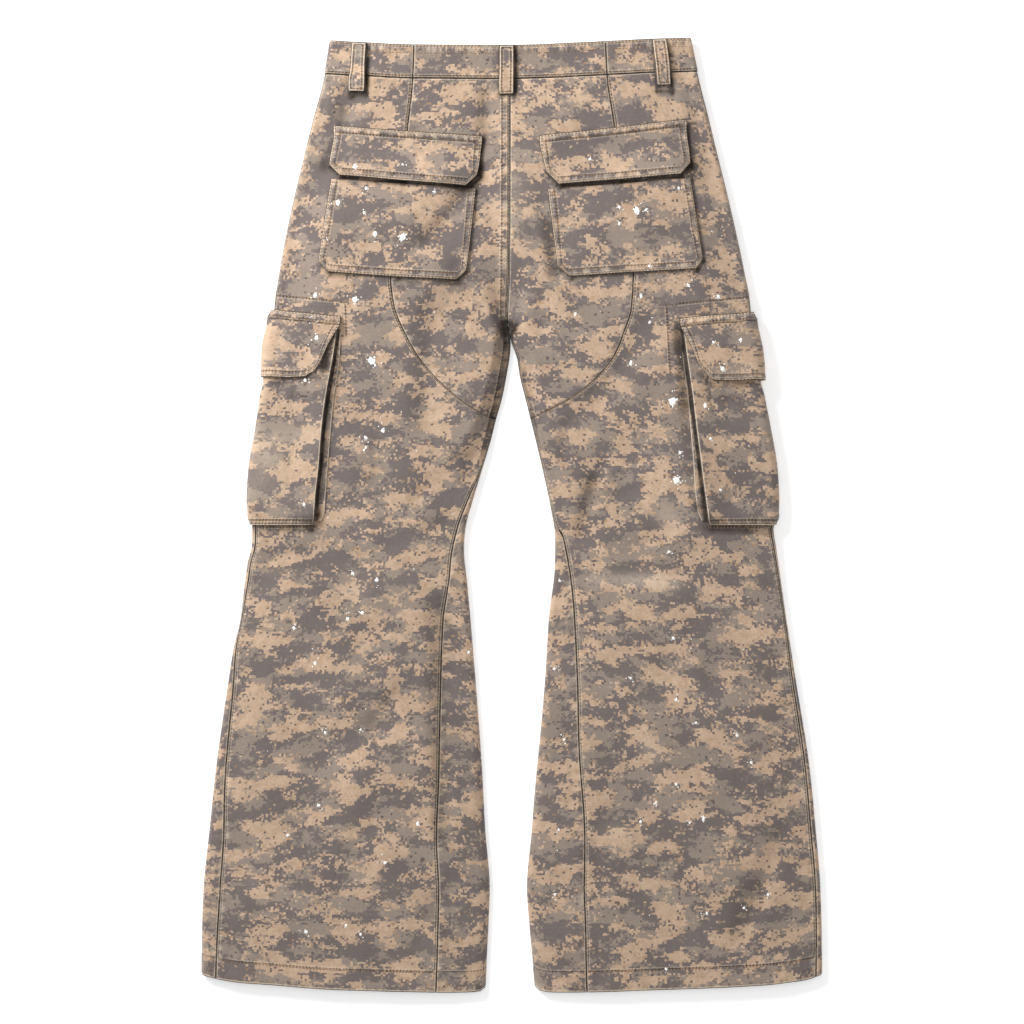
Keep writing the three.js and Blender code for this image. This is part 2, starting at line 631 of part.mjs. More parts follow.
function addWaistband() {
  const columns = 9;
  const xAt = (j, y) => {
    const low = LEFT.curvedSeam(y) + SEAM_GAP / 2;
    return mix(low, RIGHT.curvedSeam(y) - SEAM_GAP / 2, j / columns);
  };
  const at = (out) => (i, j) => onTrunk(xAt(j, BAND_LEVELS[i]), BAND_LEVELS[i], out);
  const back = closedWall(2, columns, at(BAND_PROUD), at(BAND_PROUD - BAND_CLOTH));
  addPiece("waistband_back", back, TRIM_FINISH);
  for (const side of SIDES) {
    const knotsAt = (y) => {
      const cut = section(side, y);
      const start = topU(side, side.curvedSeam(y), y) - SEAM_GAP / 2;
      const end = -(cut.half - cut.quarterInner - SEAM_GAP / 2);
      return [start, cut.quarterOuter, 0, -cut.quarterOuter, end];
    };
    const steps = [4, 3, 3, 6];
    const wall = bandedWall(side, BAND_LEVELS, knotsAt, steps, () => BAND_PROUD, BAND_CLOTH);
    addPiece(`waistband_${side.name}`, wall, TRIM_FINISH);
  }
}

// A patch sewn on top of the trunk: columns between two edges, rows from its top to its low end.
function trunkPatch(table, rows, outAt, thickness) {
  const all = {};
  for (const key of ["topX", "topY", "lowX", "lowY"])
    all[key] = spread(table.map((row) => row[key]), PATCH_STEPS);
  const columns = all.topX.length - 1;
  const at = (lower) => (i, j) => {
    const x = mix(all.topX[j], all.lowX[j], i / rows);
    const y = mix(all.topY[j], all.lowY[j], i / rows);
    return onTrunk(x, y, outAt(i / rows, j / columns) - lower);
  };
  return closedWall(rows, columns, at(0), at(thickness));
}

function puff(down, across) {
  return POCKET_PUFF * Math.sin(Math.PI * down) * Math.sin(Math.PI * across);
}

function addBackPocket(side) {
  const pocketOut = (down, across) => PATCH_GAP + POCKET_CLOTH + puff(down, across);
  const pocket = trunkPatch(BACK_POCKETS[side.name], 6, pocketOut, POCKET_CLOTH);
  addPiece(`back_pocket_${side.name}`, pocket, CLOTH_FINISH);
  const over = LAY_GAP + POCKET_CLOTH;
  const flapOut = (down) => PATCH_GAP + FLAP_CLOTH + (over + 0.8) * smooth((down - 0.35) / 0.5);
  const flap = trunkPatch(BACK_FLAPS[side.name], 5, flapOut, FLAP_CLOTH);
  addPiece(`back_flap_${side.name}`, flap, CLOTH_FINISH);
}

function cargoHalf(side, y) {
  return topU(side, side.cargoRear(y), y);
}

// How far out the cargo pocket's face lies.
function cargoOut(side, u, y) {
  const fromRear = cargoHalf(side, y) - u;
  const fromFront = u + cargoHalf(side, y);
  const rear = smooth(1 - fromRear / CARGO_REAR_RISE) * (1 - smooth((y - 150) / 60));
  const full = u > 0 ? CARGO_FACE_OUT : mix(CARGO_FACE_OUT, CARGO_UNDER, smooth(-u / 12));
  const free = full + (CARGO_REAR_OUT - CARGO_FACE_OUT) * rear;
  const sewn = LAY_GAP + POCKET_CLOTH;
  const fromSewn = Math.min(fromFront, y - CARGO_BOTTOM_Y);
  return mix(sewn, free, smooth(fromSewn / CARGO_EDGE_TURN));
}

function addCargoPocket(side) {
  const knotsAt = (y) => {
    const cut = section(side, y);
    const half = cargoHalf(side, y);
    const turn = cut.quarterOuter;
    const frontTurn = -(half - CARGO_EDGE_TURN);
    return [half, half - CARGO_REAR_RISE, turn, 0, -turn, frontTurn, -half];
  };
  const out = (u, y) => cargoOut(side, u, y);
  const steps = [3, 2, 2, 2, 3, 2];
  const wall = bandedWall(side, CARGO_ROWS, knotsAt, steps, out, POCKET_CLOTH);
  addPiece(`cargo_pocket_${side.name}`, wall, CLOTH_FINISH);
}

// The gusset is folded like a V that opens to the rear, under the pocket's rear edge.
function addCargoGusset(side) {
  const profileAt = (y) => {
    const half = cargoHalf(side, y);
    const base = half + gussetBase(y);
    const lid = cargoOut(side, half, y) - POCKET_CLOTH - LAY_GAP - 0.25;
    const low = LAY_GAP + GUSSET_CLOTH;
    const fold = mix(low, lid, 0.35);
    return {
      under: [[base, LAY_GAP], [half, fold - GUSSET_CLOTH], [half - GUSSET_TUCK, fold], [half, lid]],
      over: [[base, low], [half, fold], [half - 3, mix(fold, lid, 0.35)], [half + 1, lid - 0.9]],
    };
  };
  const at = (chain) => (i, j) => {
    const y = GUSSET_ROWS[i];
    const [u, out] = profileAt(y)[chain][j];
    return place(side, u, y, out);
  };
  const wall = closedWall(GUSSET_ROWS.length - 1, 3, at("over"), at("under"));
  addPiece(`cargo_gusset_${side.name}`, wall, TRIM_FINISH);
}

function addCargoFlap(side) {
  const half = CARGO_FLAP[side.name].map((column) => ({
    topU: topU(side, column.topX, column.topY),
    topY: column.topY,
    lowU: topU(side, column.lowX, column.lowY),
    lowY: column.lowY,
  }));
  const { topY, lowY } = CARGO_FLAP_EDGE;
  const turn = section(side, topY).quarterOuter;
  const edge = [turn, turn / 2, 0, -turn / 2, -turn].map((u) => ({ topU: u, topY, lowU: u, lowY }));
  const mirrored = half.map((column) => ({ ...column, topU: -column.topU, lowU: -column.lowU }));
  const columns = [...half, ...edge, ...mirrored.reverse()];
  const over = FLAP_CLOTH + LAY_GAP;
  const sewn = over + 0.3;
  const at = (lower) => (i, j) => {
    const column = columns[j];
    const u = mix(column.topU, column.lowU, i / CARGO_FLAP_ROWS);
    const y = mix(column.topY, column.lowY, i / CARGO_FLAP_ROWS);
    const settled = smooth((column.topY - y) / CARGO_FLAP_SETTLE);
    const rear = cargoHalf(side, y);
    const onPocket = cargoOut(side, clamp(u, -rear + CARGO_EDGE_TURN, rear), y) + over + 0.6;
    return place(side, u, y, mix(sewn, onPocket, settled) - lower);
  };
  const wall = closedWall(CARGO_FLAP_ROWS, columns.length - 1, at(0), at(FLAP_CLOTH));
  addPiece(`cargo_flap_${side.name}`, wall, CLOTH_FINISH);
}

// A loop is a strip whose ends are sewn down and whose middle stands off the waistband.
function loopWall(placeAt, arch) {
  const rows = 8;
  const columns = 2;
  const at = (lower) => (i, j) => {
    const down = i / rows;
    const y = mix(LOOP_TOP_Y, LOOP_LOW_Y, down);
    const across = (j / columns - 0.5) * LOOP_WIDTH;
    const sewn = LAY_GAP + LOOP_CLOTH + BAND_PROUD + 0.1;
    const out = sewn + arch * Math.sin(Math.PI * down) ** 0.7;
    return placeAt(across, down, y, out - lower);
  };
  return closedWall(rows, columns, at(0), at(LOOP_CLOTH));
}

function addLoops() {
  for (const loop of BACK_LOOPS) {
    const placeAt = (across, down, y, out) =>
      onTrunk(mix(loop.topX, loop.lowX, down) + across, y + loop.rise * down, out);
    addPiece(loop.name, loopWall(placeAt, loop.arch), TRIM_FINISH);
  }
  for (const loop of FRONT_LOOPS) {
    const side = loop.side === "left" ? LEFT : RIGHT;
    const placeAt = (across, down, y, out) =>
      place(side, -topU(side, loop.x + across, y), y, out);
    addPiece(loop.name, loopWall(placeAt, loop.arch), TRIM_FINISH);
  }
}

// The fly placket lies on the left front beside the centre front, with a rounded lower corner.
function addFlyPlacket() {
  const rows = 8;
  const columns = 3;
  const at = (lower) => (i, j) => {
    const y = mix(FLY_TOP_Y, FLY_LOW_Y, i / rows);
    const cut = section(LEFT, y);
    const nearEnd = clamp((y - FLY_LOW_Y) / FLY_WIDTH, 0, 1);
    const wide = mix(FLY_END_WIDTH, FLY_WIDTH, Math.sqrt(1 - (1 - nearEnd) ** 2));
    const fromCentre = mix(FLY_FROM_CENTRE, wide, j / columns);
    const u = -(cut.half - cut.quarterInner - fromCentre);
    return place(LEFT, u, y, FLY_UNDER - lower);
  };
  addPiece("fly_placket", closedWall(rows, columns, at(0), at(PANEL_CLOTH)), TRIM_FINISH);
}

function addButton() {
  const disc = new THREE.CylinderGeometry(BUTTON_RADIUS, BUTTON_RADIUS, BUTTON_THICK, 20);
  disc.rotateX(Math.PI / 2);
  const button = addPiece("waist_button", disc, BUTTON_FINISH);
  button.position.set(BUTTON_X, WAIST_SEAM_Y + BAND_HEIGHT / 2, BUTTON_THICK / 2);
}

for (const side of SIDES) {
  addFront(side);
  addBackLeg(side);
  addBackSeat(side);
  addBackPocket(side);
  addCargoPocket(side);
  addCargoGusset(side);
  addCargoFlap(side);
}
addWaistband();
addLoops();
addFlyPlacket();
addButton();

export default pants;
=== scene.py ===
"""Cargo pants laid out flat, face down: the looks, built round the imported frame.

Sizes are in millimetres until a mesh is made, which turns them into metres. Each half of the garment
is a flattened tube. A place on it is (u, y, out): u runs round the tube from the middle of the outer
edge, positive over the top and negative underneath, y runs along the leg, and out is the distance
outside the panels' outer face.
"""

import math

import bpy
import numpy as np
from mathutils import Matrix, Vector
from mathutils.bvhtree import BVHTree


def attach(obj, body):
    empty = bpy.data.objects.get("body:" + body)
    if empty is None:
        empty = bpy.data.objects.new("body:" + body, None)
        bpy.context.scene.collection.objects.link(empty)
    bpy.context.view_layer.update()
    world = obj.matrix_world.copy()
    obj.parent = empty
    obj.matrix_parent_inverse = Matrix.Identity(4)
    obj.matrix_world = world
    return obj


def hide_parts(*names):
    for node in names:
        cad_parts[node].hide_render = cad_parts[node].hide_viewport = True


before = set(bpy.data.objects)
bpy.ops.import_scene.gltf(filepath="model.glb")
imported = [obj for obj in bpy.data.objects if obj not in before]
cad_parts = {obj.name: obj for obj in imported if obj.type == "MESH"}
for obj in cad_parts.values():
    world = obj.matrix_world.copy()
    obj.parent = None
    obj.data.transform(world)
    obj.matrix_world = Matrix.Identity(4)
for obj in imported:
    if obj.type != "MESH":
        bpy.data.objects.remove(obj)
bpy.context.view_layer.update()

MM = 0.001

# Cloth walls, gaps and main levels, as in the frame.
PANEL_CLOTH = 1.6
BAND_CLOTH = 2.4
POCKET_CLOTH = 1.8
FLAP_CLOTH = 1.8
GUSSET_CLOTH = 1.3
LOOP_CLOTH = 1.6
SEAM_GAP = 0.3
LAY_GAP = 0.3
PATCH_GAP = 0.5
WAIST_SEAM_Y = 481
BAND_HEIGHT = 37
CROTCH_Y = 216
HEM_Y = -526
HEM_TURN = 23
BAND_PROUD = 0.6
OUTER_ROUND = 5.5
THIGH_ROUND = 3
LEG_ROUND = 5
TRUNK_ROUND = 0.05
OUTER_RISE = 60

# What the front lies over.
CARGO_UNDER = 4.4
FLAP_UNDER = 2.9
BAND_UNDER = 3.4
FLY_UNDER = 1.9
FLOOR_ROOM = 0.3

# Grid steps of the shells.
TOP_STEP = 4.2
UNDER_STEP = 9
PATCH_STEP = 3.4
EDGE_STEPS = (0.6, 1.4, 2.8)


def table(names, rows):
    """Columns by name from rows of numbers."""
    return dict(zip(names.split(), np.array(rows, float).T))


def by_side(names, left, right):
    return {"left": table(names, left), "right": table(names, right)}


OUTER_EDGE = by_side("y x", [
    (520, -199.5), (474, -207.5), (428, -220.5), (362, -237), (297, -251), (231, -262.3),
    (181, -274.5), (148, -275.5), (98, -282), (49, -290), (16, -292), (-2, -290),
    (-17, -285.5), (-34, -286), (-52, -290.8), (-70, -293.5), (-116, -299), (-149, -306.8),
    (-182, -312), (-281, -326), (-347, -333),
    (-413, -339.5), (-496, -341.5), (-526, -341.5),
], [
    (525, 196), (474, 206.5), (428, 219), (362, 236), (297, 250.8), (231, 264.3),
    (181, 275.5), (148, 276.5), (98, 285.2), (49, 293.2), (16, 295), (-2, 294),
    (-17, 288.5), (-34, 291.3), (-116, 303.2), (-182, 313.5), (-281, 329), (-347, 335.5),
    (-413, 340.6), (-496, 342.2), (-526, 342.2),
])
INNER_EDGE = by_side("y x", [
    (525, -1.7), (346, -1.9), (261, -2.8), (222, -4.6), (206, -2.8), (192, -0.7), (180, -1.1),
    (163, -3.5), (148, -6.2), (131, -9.5), (103, -17.3), (82, -22.5), (16, -42.5), (-17, -51),
    (-39, -52.5), (-74, -49), (-166, -41), (-281, -32.5), (-347, -29), (-413, -24),
    (-446, -25), (-526, -29),
], [
    (525, -1.7), (346, -1.9), (261, -2.8), (222, -4.7), (213, -4.9), (206, -3.7), (192, -1), (186, 1),
    (173, 5.9), (152, 9.1), (131, 14.3), (103, 21.2), (71, 29), (5, 43.5), (-23, 48),
    (-50, 48), (-116, 41), (-182, 37), (-314, 25), (-347, 22.5), (-413, 17), (-446, 19),
    (-526, 26),
])
CURVED_SEAM = by_side("y x", [
    (520, -107), (480, -108.5), (425, -114), (346, -123), (259, -132.5), (230, -129),
    (193, -114), (161, -93), (131, -62), (109, -29), (103, -14),
], [
    (520, 103), (480, 105), (425, 113), (340, 124), (263, 133.5), (227, 131.5), (202, 124),
    (175, 113), (151, 94), (131, 70), (115, 41), (103, 16),
])
CURVED_SEAM_END_Y = 105
SIDE_SEAMS = by_side("y outseam inseam", [
    (520, 1.5, 1.5), (60, 1.5, 1.5), (20, 3, 8), (-16, 7, 12), (-70, 7, 22), (-116, 4, 33),
    (-190, 10, 42), (-290, 15, 51), (-400, 22, 59), (-526, 19, 57),
], [
    (520, 1.5, 1.5), (60, 1.5, 1.5), (-10, 6, 3), (-20, 6, 10), (-60, 5, 19), (-114, 4, 31),
    (-178, 7, 38), (-250, 8, 46), (-340, 9, 60), (-413, 9, 66), (-526, 10, 60),
])
HEIGHTS = table("y edge middle inner soft ledge", [
    (520, 12, 17, 17, 60, 0), (440, 12, 20, 20, 60, 0), (320, 13, 23, 20, 50, 0),
    (262, 14, 23, 12, 36, 0), (216, 16, 22, 6.4, 20, 1), (185, 16.5, 21.5, 6.2, 10, 8),
    (120, 15, 20, 6.2, 11, 10), (80, 14.2, 19, 7.5, 30, 3), (30, 14, 18, 9.5, 55, 0),
    (-20, 13, 16.5, 9.5, 60, 0), (-80, 10.5, 14.5, 9.5, 60, 0), (-350, 9.5, 13, 9.2, 60, 0),
    (-526, 9.2, 12.5, 9, 60, 0),
])
WAIST_RISE = table("x rise", [(-205, 4.2), (-110, -1.7), (-5, -2.2), (84, 0.9), (150, 4.4), (205, 7)])
HEM_RISE = table("x rise", [
    (-342, 19), (-322, 14), (-300, 10.8), (-264, 8.2), (-206, 3.6), (-150, 1.6), (-52, -0.3), (-36, 0.5),
    (-27, 5), (25, 5.5), (33, 1), (46, -0.3), (175, 3.3), (274, 7.6), (307, 11), (324, 13.4),
    (342, 19),
])

# Soft troughs between two points on the back, with their half width and depth; a negative depth is
# a ridge. The first eight are the frame's own.
FOLDS = table("x0 y0 x1 y1 wide deep", [
    (-194, 483, -213, 401, 22, 1.6), (-26, 456, -22, 290, 22, 1.8),
    (-40, 256, -84, 222, 22, 2), (-95, 172, -88, 36, 24, 3),
    (152, 204, 97, 124, 18, 2.8), (125, 62, 66, -28, 18, 2.6),
    (-90, -190, -182, -250, 22, 2.2), (60, -262, 150, -300, 24, 1.8),
    # Hips and seat.
    (-180, 474, -197, 428, 6, 1.7), (-168, 470, -184, 432, 7, -0.8), (-205, 420, -216, 350, 10, 0.9),
    (-24, 466, -30, 402, 9, 1.1), (-38, 372, -99, 298, 13, 1.7), (-70, 372, -118, 322, 9, -0.7),
    (35, 336, 47, 264, 8, 1.5), (24, 300, 36, 206, 9, 1.3), (50, 250, 66, 215, 8, -0.8),
    (-62, 268, -90, 224, 8, 1.6), (-92, 224, -103, 104, 9, 1.3), (-30, 282, -58, 246, 7, -0.9),
    (196, 470, 207, 418, 7, 1.1), (182, 466, 196, 424, 8, -0.7), (212, 398, 236, 330, 9, 0.8),
    (150, 452, 172, 440, 6, 0.7), (62, 462, 74, 432, 8, 0.6), (-62, 468, -70, 440, 8, 0.5),
    # Creases that run out from the crotch.
    (-18, 214, -52, 244, 4, 1.2), (-20, 204, -60, 214, 4, 0.9), (-24, 222, -44, 262, 4, -0.7),
    (10, 222, 34, 206, 3, 1), (14, 214, 40, 190, 3, 0.8), (16, 226, 36, 224, 3, -0.7),
    (16, 202, 44, 176, 4, -0.6), (18, 190, 34, 160, 4, 0.8),
    # Thighs and knees.
    (61, 96, 50, 52, 9, 1.3), (97, 46, 72, -12, 8, 1.5), (110, 40, 86, -10, 8, -0.9),
    (152, 30, 108, 18, 7, 0.7), (170, -20, 110, -46, 10, 0.8), (-150, 70, -118, 20, 9, 0.9),
    (-175, 40, -150, -20, 9, -0.7), (-60, 60, -98, 22, 9, 1), (-70, -10, -140, -40, 11, 0.9),
    (-58, 8, -110, -6, 7, -0.6), (-170, -48, -110, -62, 9, 0.6), (75, -70, 140, -64, 9, 0.8),
    (205, -40, 260, -52, 8, 0.8), (-208, -36, -262, -50, 8, 0.8), (-250, -70, -215, -110, 9, 0.7),
    # Lower legs.
    (-84, -94, -79, -347, 9, 1.3), (-96, -120, -91, -330, 7, -0.5), (-120, -188, -158, -236, 9, 1.2),
    (-230, -190, -196, -262, 12, 0.8), (-262, -260, -230, -350, 12, 0.8), (-150, -330, -190, -410, 14, 0.9),
    (-62, -400, -100, -468, 10, 0.7), (-290, -380, -268, -452, 11, 0.8), (296, -358, 256, -458, 13, 1.5),
    (312, -340, 282, -440, 9, -0.7), (96, -150, 160, -176, 11, 0.8), (210, -150, 244, -214, 10, 0.8),
    (120, -300, 96, -390, 12, 0.8), (180, -360, 214, -436, 12, 0.8), (62, -190, 58, -330, 8, 0.9),
    # Puckers under the cargo flaps and beside the pockets' mouths.
    (-236, 144, -240, 112, 4, 0.9), (-222, 146, -220, 118, 3.5, 0.8), (-250, 146, -262, 120, 4, 0.8),
    (214, 146, 220, 116, 4, 0.9), (232, 146, 238, 110, 4, 0.9), (254, 146, 260, 118, 4, 0.8),
])

FRAME_FOLDS = 8
FOLD_STRENGTH = 1.6
FOLDS["deep"][FRAME_FOLDS:] *= FOLD_STRENGTH

# Soft patches on the cloth: grime and painted shade in hollows and under the patches (positive), fading and
# painted highlights (negative).
STAIN_AND_SHADE_SPOTS = table("x y wide tall amount", [
    (-4.5, 206, 9, 8, 1), (-8, 198, 6, 9, 0.5), (-19, 216, 6, 6, 0.3), (3.5, 207, 3, 6, 0.7),
    (14, 352, 18, 60, -0.2), (-16, 340, 10, 50, -0.08), (2, 250, 14, 30, 0.12),
    (-190, 440, 8, 26, 0.2), (-205, 385, 8, 22, 0.14), (-40, 372, 9, 9, 0.3), (34, 300, 8, 40, 0.16),
    (-205, 160, 7, 26, 0.3), (186, 150, 7, 60, 0.16), (192, 60, 7, 60, 0.1), (-196, 60, 7, 60, 0.12),
    (245, -16, 34, 6, 0.35), (-250, -16, 30, 5, 0.25), (180, 190, 10, 16, 0.3),
    (-230, 130, 26, 6, 0.35), (238, 128, 26, 6, 0.35), (-120, 363, 66, 5, 0.25), (118, 364, 66, 5, 0.25),
    (-96, -240, 10, 110, 0.16), (-260, 30, 24, 60, -0.2), (-255, 190, 14, 20, -0.2),
    (150, -70, 50, 12, -0.2), (-150, -70, 40, 30, -0.12), (170, 20, 22, 22, -0.2),
    (0, -470, 400, 60, 0.06), (262, -420, 30, 60, 0.1),
])

# Painted shade along the creases, in the hollows and under the patches, and painted highlights along the
# ridges: between two points, with half width and amount.
PAINTED_SHADE_AND_LIGHT = table("x0 y0 x1 y1 wide amount", [
    # Hips, pockets and seat.
    (-174, 478, -206, 384, 10, 0.46), (-38, 372, -47, 364, 10, 0.65), (-52, 356, -96, 302, 11, 0.48),
    (-60, 258, -84, 224, 11, 0.42), (-92, 208, -100, 96, 11, 0.34), (-34, 462, -34, 408, 10, 0.34),
    (40, 320, 45, 262, 9, 0.48), (198, 384, 200, 372, 7, 0.35), (-150, 480, -120, 470, 8, 0.15),
    (-176, 252, -120, 246, 8, 0.12), (60, 240, 76, 214, 9, 0.14), (-18, 268, -40, 226, 8, 0.16),
    # Crotch and the inner strips.
    (-6, 209, -5, 200, 6, 0.8), (-24, 110, -34, 76, 7, 0.2), (-50, 66, -54, 40, 10, 0.34),
    (-111, 40, -112, 14, 10, 0.2),
    # Round the cargo pockets.
    (-194, 200, -205, 160, 4, 0.9),
    (-214, 0, -220, -13, 7, 0.4), (182, 206, 190, 120, 8, 0.45), (190, 120, 202, 10, 7, 0.25),
    (204, 8, 214, -13, 7, 0.4), (222, -16, 288, -18, 5, 0.5), (-288, -15, -218, -16, 5, 0.5),
    # Under the cargo flaps.
    (-262, 146, -246, 145.5, 5, 0.5), (-229, 147, -214, 150, 5, 0.5), (236, 142, 262, 143, 5, 0.5),
    (206, 154, 222, 142, 5, 0.5),
    # Thighs and lower legs.
    (54, 82, 54, 60, 12, 0.34), (86, 38, 74, -20, 10, 0.5), (-156, 84, -156, 30, 9, 0.24),
    (-79, -94, -80, -360, 10, 0.45), (-126, -196, -156, -228, 13, 0.3), (290, -352, 246, -458, 16, 0.22),
    (-155, -240, -157, -300, 12, 0.14), (64, -240, 62, -320, 8, 0.26), (-96, -420, -70, -470, 12, 0.2),
    # Ridges, with painted highlights.
    (-214, 90, -280, 80, 18, -0.3), (-270, 60, -284, 20, 12, -0.26), (90, -70, 180, -76, 9, -0.42),
    (170, -4, 178, -14, 14, -0.38), (150, -256, 158, -266, 14, -0.42), (4, 400, 4, 300, 7, -0.18),
    (100, 240, 200, 236, 7, -0.14), (-280, -60, -230, -66, 8, -0.2), (110, -350, 130, -352, 12, -0.28),
    (-200, 472, -220, 380, 6, -0.22), (-82, 146, -78, 60, 8, -0.22), (-288, -400, -278, -420, 12, -0.26),
    (-178, -84, -168, -90, 12, -0.24), (-172, -400, -160, -404, 11, -0.22),
])

# How far the shade of a patch falls to its right and below, with its half width and amount.
CAST_SHADE = dict(right=1.4, below=2.0, wide=3.2, amount=0.62)

# The front's worn inner strip that shows beside the back's folded inner edge.
STRIP_WIDE = by_side("y wide", [
    (216, 9), (205, 11), (150, 11.5), (112, 11), (80, 11.5), (50, 9), (20, 2),
], [
    (216, 4), (205, 5.5), (172, 5.5), (148, 8), (112, 8.5), (90, 8), (60, 7), (30, 2),
])

CARGO_BOTTOM_Y = -11.5
CARGO_TOP_Y = 201
CARGO_FACE_OUT = 5.2
CARGO_REAR_OUT = 9.6
CARGO_REAR_RISE = 32
CARGO_EDGE_TURN = 11
CARGO_REAR = by_side("y x", [
    (212, -190), (178, -194.5), (124, -203.8), (88, -208), (50, -211.5), (23, -214.5),
    (-3, -216.3), (-11.5, -218.5),
], [
    (212, 187.5), (187, 190.3), (127, 198.5), (73, 205.3), (19, 212.5), (-5, 215.5),
    (-11.5, 218),
])
GUSSET_BASE = by_side("y wide", [
    (203, 4), (183, 6), (156, 8), (119, 8.8), (88, 9.5), (50, 9.7), (25, 10.7), (3, 10.7), (-7, 8),
], [
    (203, 4), (174, 4.6), (137, 5), (100, 6.2), (64, 7.6), (19, 10.3), (3, 9.8), (-7, 7),
])
GUSSET_TUCK = 7
GUSSET_TOP_Y = 203
GUSSET_LOW_Y = -7
CARGO_FLAP = by_side("topX topY lowX lowY", [
    (-187, 217.5, -209.5, 165), (-195, 218, -216, 156), (-204, 219, -226, 150.8),
    (-222, 221, -242, 149.8), (-252, 224, -262, 150.8),
], [
    (184, 215, 204, 166), (192, 216, 211, 155.5), (201, 217, 221, 146.8),
    (222, 219, 240, 146.4), (250, 221, 262, 147.4),
])
CARGO_FLAP_EDGE = {"left": (225, 151), "right": (222.5, 147.6)}
CARGO_FLAP_SETTLE = 13
CARGO_FLARE = {"left": 0, "right": 2.4}
CARGO_BAND = 8.8
CARGO_BAND_HIGH = 1.1
BACK_POCKETS = by_side("topX topY lowX lowY", [
    (-197.5, 368, -211.5, 277.5), (-188, 367, -200.5, 265.5), (-116, 362, -125, 260),
    (-49, 358, -60, 257), (-38.5, 357, -49, 267.5),
], [
    (39.5, 356, 51, 271.5), (50, 357, 63.5, 260.5), (117, 362, 130, 265),
    (186, 368, 202, 269), (196, 369, 209.5, 280),
])
BACK_FLAPS = by_side("topX topY lowX lowY", [
    (-194, 426, -198.5, 383.5), (-185, 425, -187.5, 371.5), (-114, 421, -120, 365.5),
    (-42, 416.5, -51, 360), (-32.5, 416, -38, 372),
], [
    (30, 416, 38, 375.5), (40, 417, 52, 361.5), (111, 423, 118, 366.5),
    (183, 430, 184, 372.5), (192, 430.5, 195, 385.5),
])
POCKET_PUFF = 2
FLAP_BAND = 8.2
FLAP_BAND_HIGH = 0.8

# How far inside its edge each patch's rows of stitching lie.
PATCH_ROWS = (1.6, 7.4)
FLAP_ROWS = (1.6, 6.6)
CARGO_ROWS = (1.6, 5.4)
LOOP_ROW = 3.2

# Rows above, behind and below the cargo pockets, and the bar tacks at their flaps' rear corners.
FREE_ROWS = {
    "back_leg_left": [
        [(-258, 240.5), (-182, 232.5)], [(-182, 231), (-181, 195)], [(-280, -13.7), (-213, -13.8)],
    ],
    "back_leg_right": [
        [(170, 229.5), (260, 238.5)], [(170, 229), (174, 155)], [(217, -13.8), (281, -14.3)],
    ],
}
BAR_TACKS = {
    "left": [(-206.5, 209.5), (-198, 208.6), (-198, 207.8), (-206.5, 208.7), (-206.5, 207.9), (-198, 207)],
    "right": [(189, 204.5), (194.5, 207.8), (195, 207), (189.5, 203.7)],
}

LOOP_WIDTH = 16
LOOP_TOP_Y = 517
LOOP_LOW_Y = 466
BACK_LOOPS = {
    "loop_back_left": dict(top=-167, low=-169, rise=-3.5),
    "loop_back_center": dict(top=-5.5, low=-5.5, rise=-3),
    "loop_back_right": dict(top=162, low=167, rise=0),
}
FRONT_LOOPS = {"loop_front_left": ("left", -92), "loop_front_right": ("right", 88)}
BACK_ARCH = 2.8
FRONT_ARCH = 0.9
FLY_WIDTH = 36
FLY_TOP_Y = 479
FLY_LOW_Y = 322


def smooth(value):
    t = np.clip(value, 0, 1)
    return t * t * (3 - 2 * t)


def mix(a, b, share):
    return a + (b - a) * share


def curve(columns, gives, by="y"):
    """A smooth curve through a table's rows, read by one column and giving another."""
    order = np.argsort(columns[by])
    xs, ys = columns[by][order], columns[gives][order]
    spans = np.diff(xs)
    rises = np.diff(ys) / spans
    slopes = np.concatenate([rises[:1], np.zeros(len(xs) - 2), rises[-1:]])
    same = rises[:-1] * rises[1:] > 0
    both = np.where(same, rises[:-1] + rises[1:], 1)
    slopes[1:-1] = np.where(same, 2 * rises[:-1] * rises[1:] / both, 0)

    def read(value):
        at = np.clip(value, xs[0], xs[-1])
        i = np.clip(np.searchsorted(xs, at) - 1, 0, len(xs) - 2)
        t = (at - xs[i]) / spans[i]
        return (
            ys[i] * (1 + 2 * t) * (1 - t) ** 2
            + ys[i + 1] * t * t * (3 - 2 * t)
            + slopes[i] * spans[i] * t * (1 - t) ** 2
            - slopes[i + 1] * spans[i] * t * t * (1 - t)
        )

    return read


edge_height = curve(HEIGHTS, "edge")
middle_height = curve(HEIGHTS, "middle")
inner_height = curve(HEIGHTS, "inner")
inner_soft = curve(HEIGHTS, "soft")
inner_ledge = curve(HEIGHTS, "ledge")
waist_rise = curve(WAIST_RISE, "rise", "x")
hem_rise = curve(HEM_RISE, "rise", "x")


class Side:
    """One half of the garment; inward is the X direction from its outer edge to the middle."""

    def __init__(self, name, inward):
        self.name = name
        self.inward = inward
        self.outer_edge = curve(OUTER_EDGE[name], "x")
        self.inner_edge = curve(INNER_EDGE[name], "x")
        self.curved_seam = curve(CURVED_SEAM[name], "x")
        self.outseam = curve(SIDE_SEAMS[name], "outseam")
        self.inseam = curve(SIDE_SEAMS[name], "inseam")
        self.cargo_rear = curve(CARGO_REAR[name], "x")
        self.strip_wide = curve(STRIP_WIDE[name], "wide")
        self.gusset_base = curve(GUSSET_BASE[name], "wide")


LEFT = Side("left", 1)
RIGHT = Side("right", -1)
SIDES = (LEFT, RIGHT)


def leg_share(y):
    return smooth((CROTCH_Y - y) / 12)


def along_segment(x, y, x0, y0, x1, y1):
    """How far along a segment and beside it each point lies, and the segment's length."""
    length = math.hypot(x1 - x0, y1 - y0)
    ax, ay = (x1 - x0) / length, (y1 - y0) / length
    return (x - x0) * ax + (y - y0) * ay, (x - x0) * ay - (y - y0) * ax, length


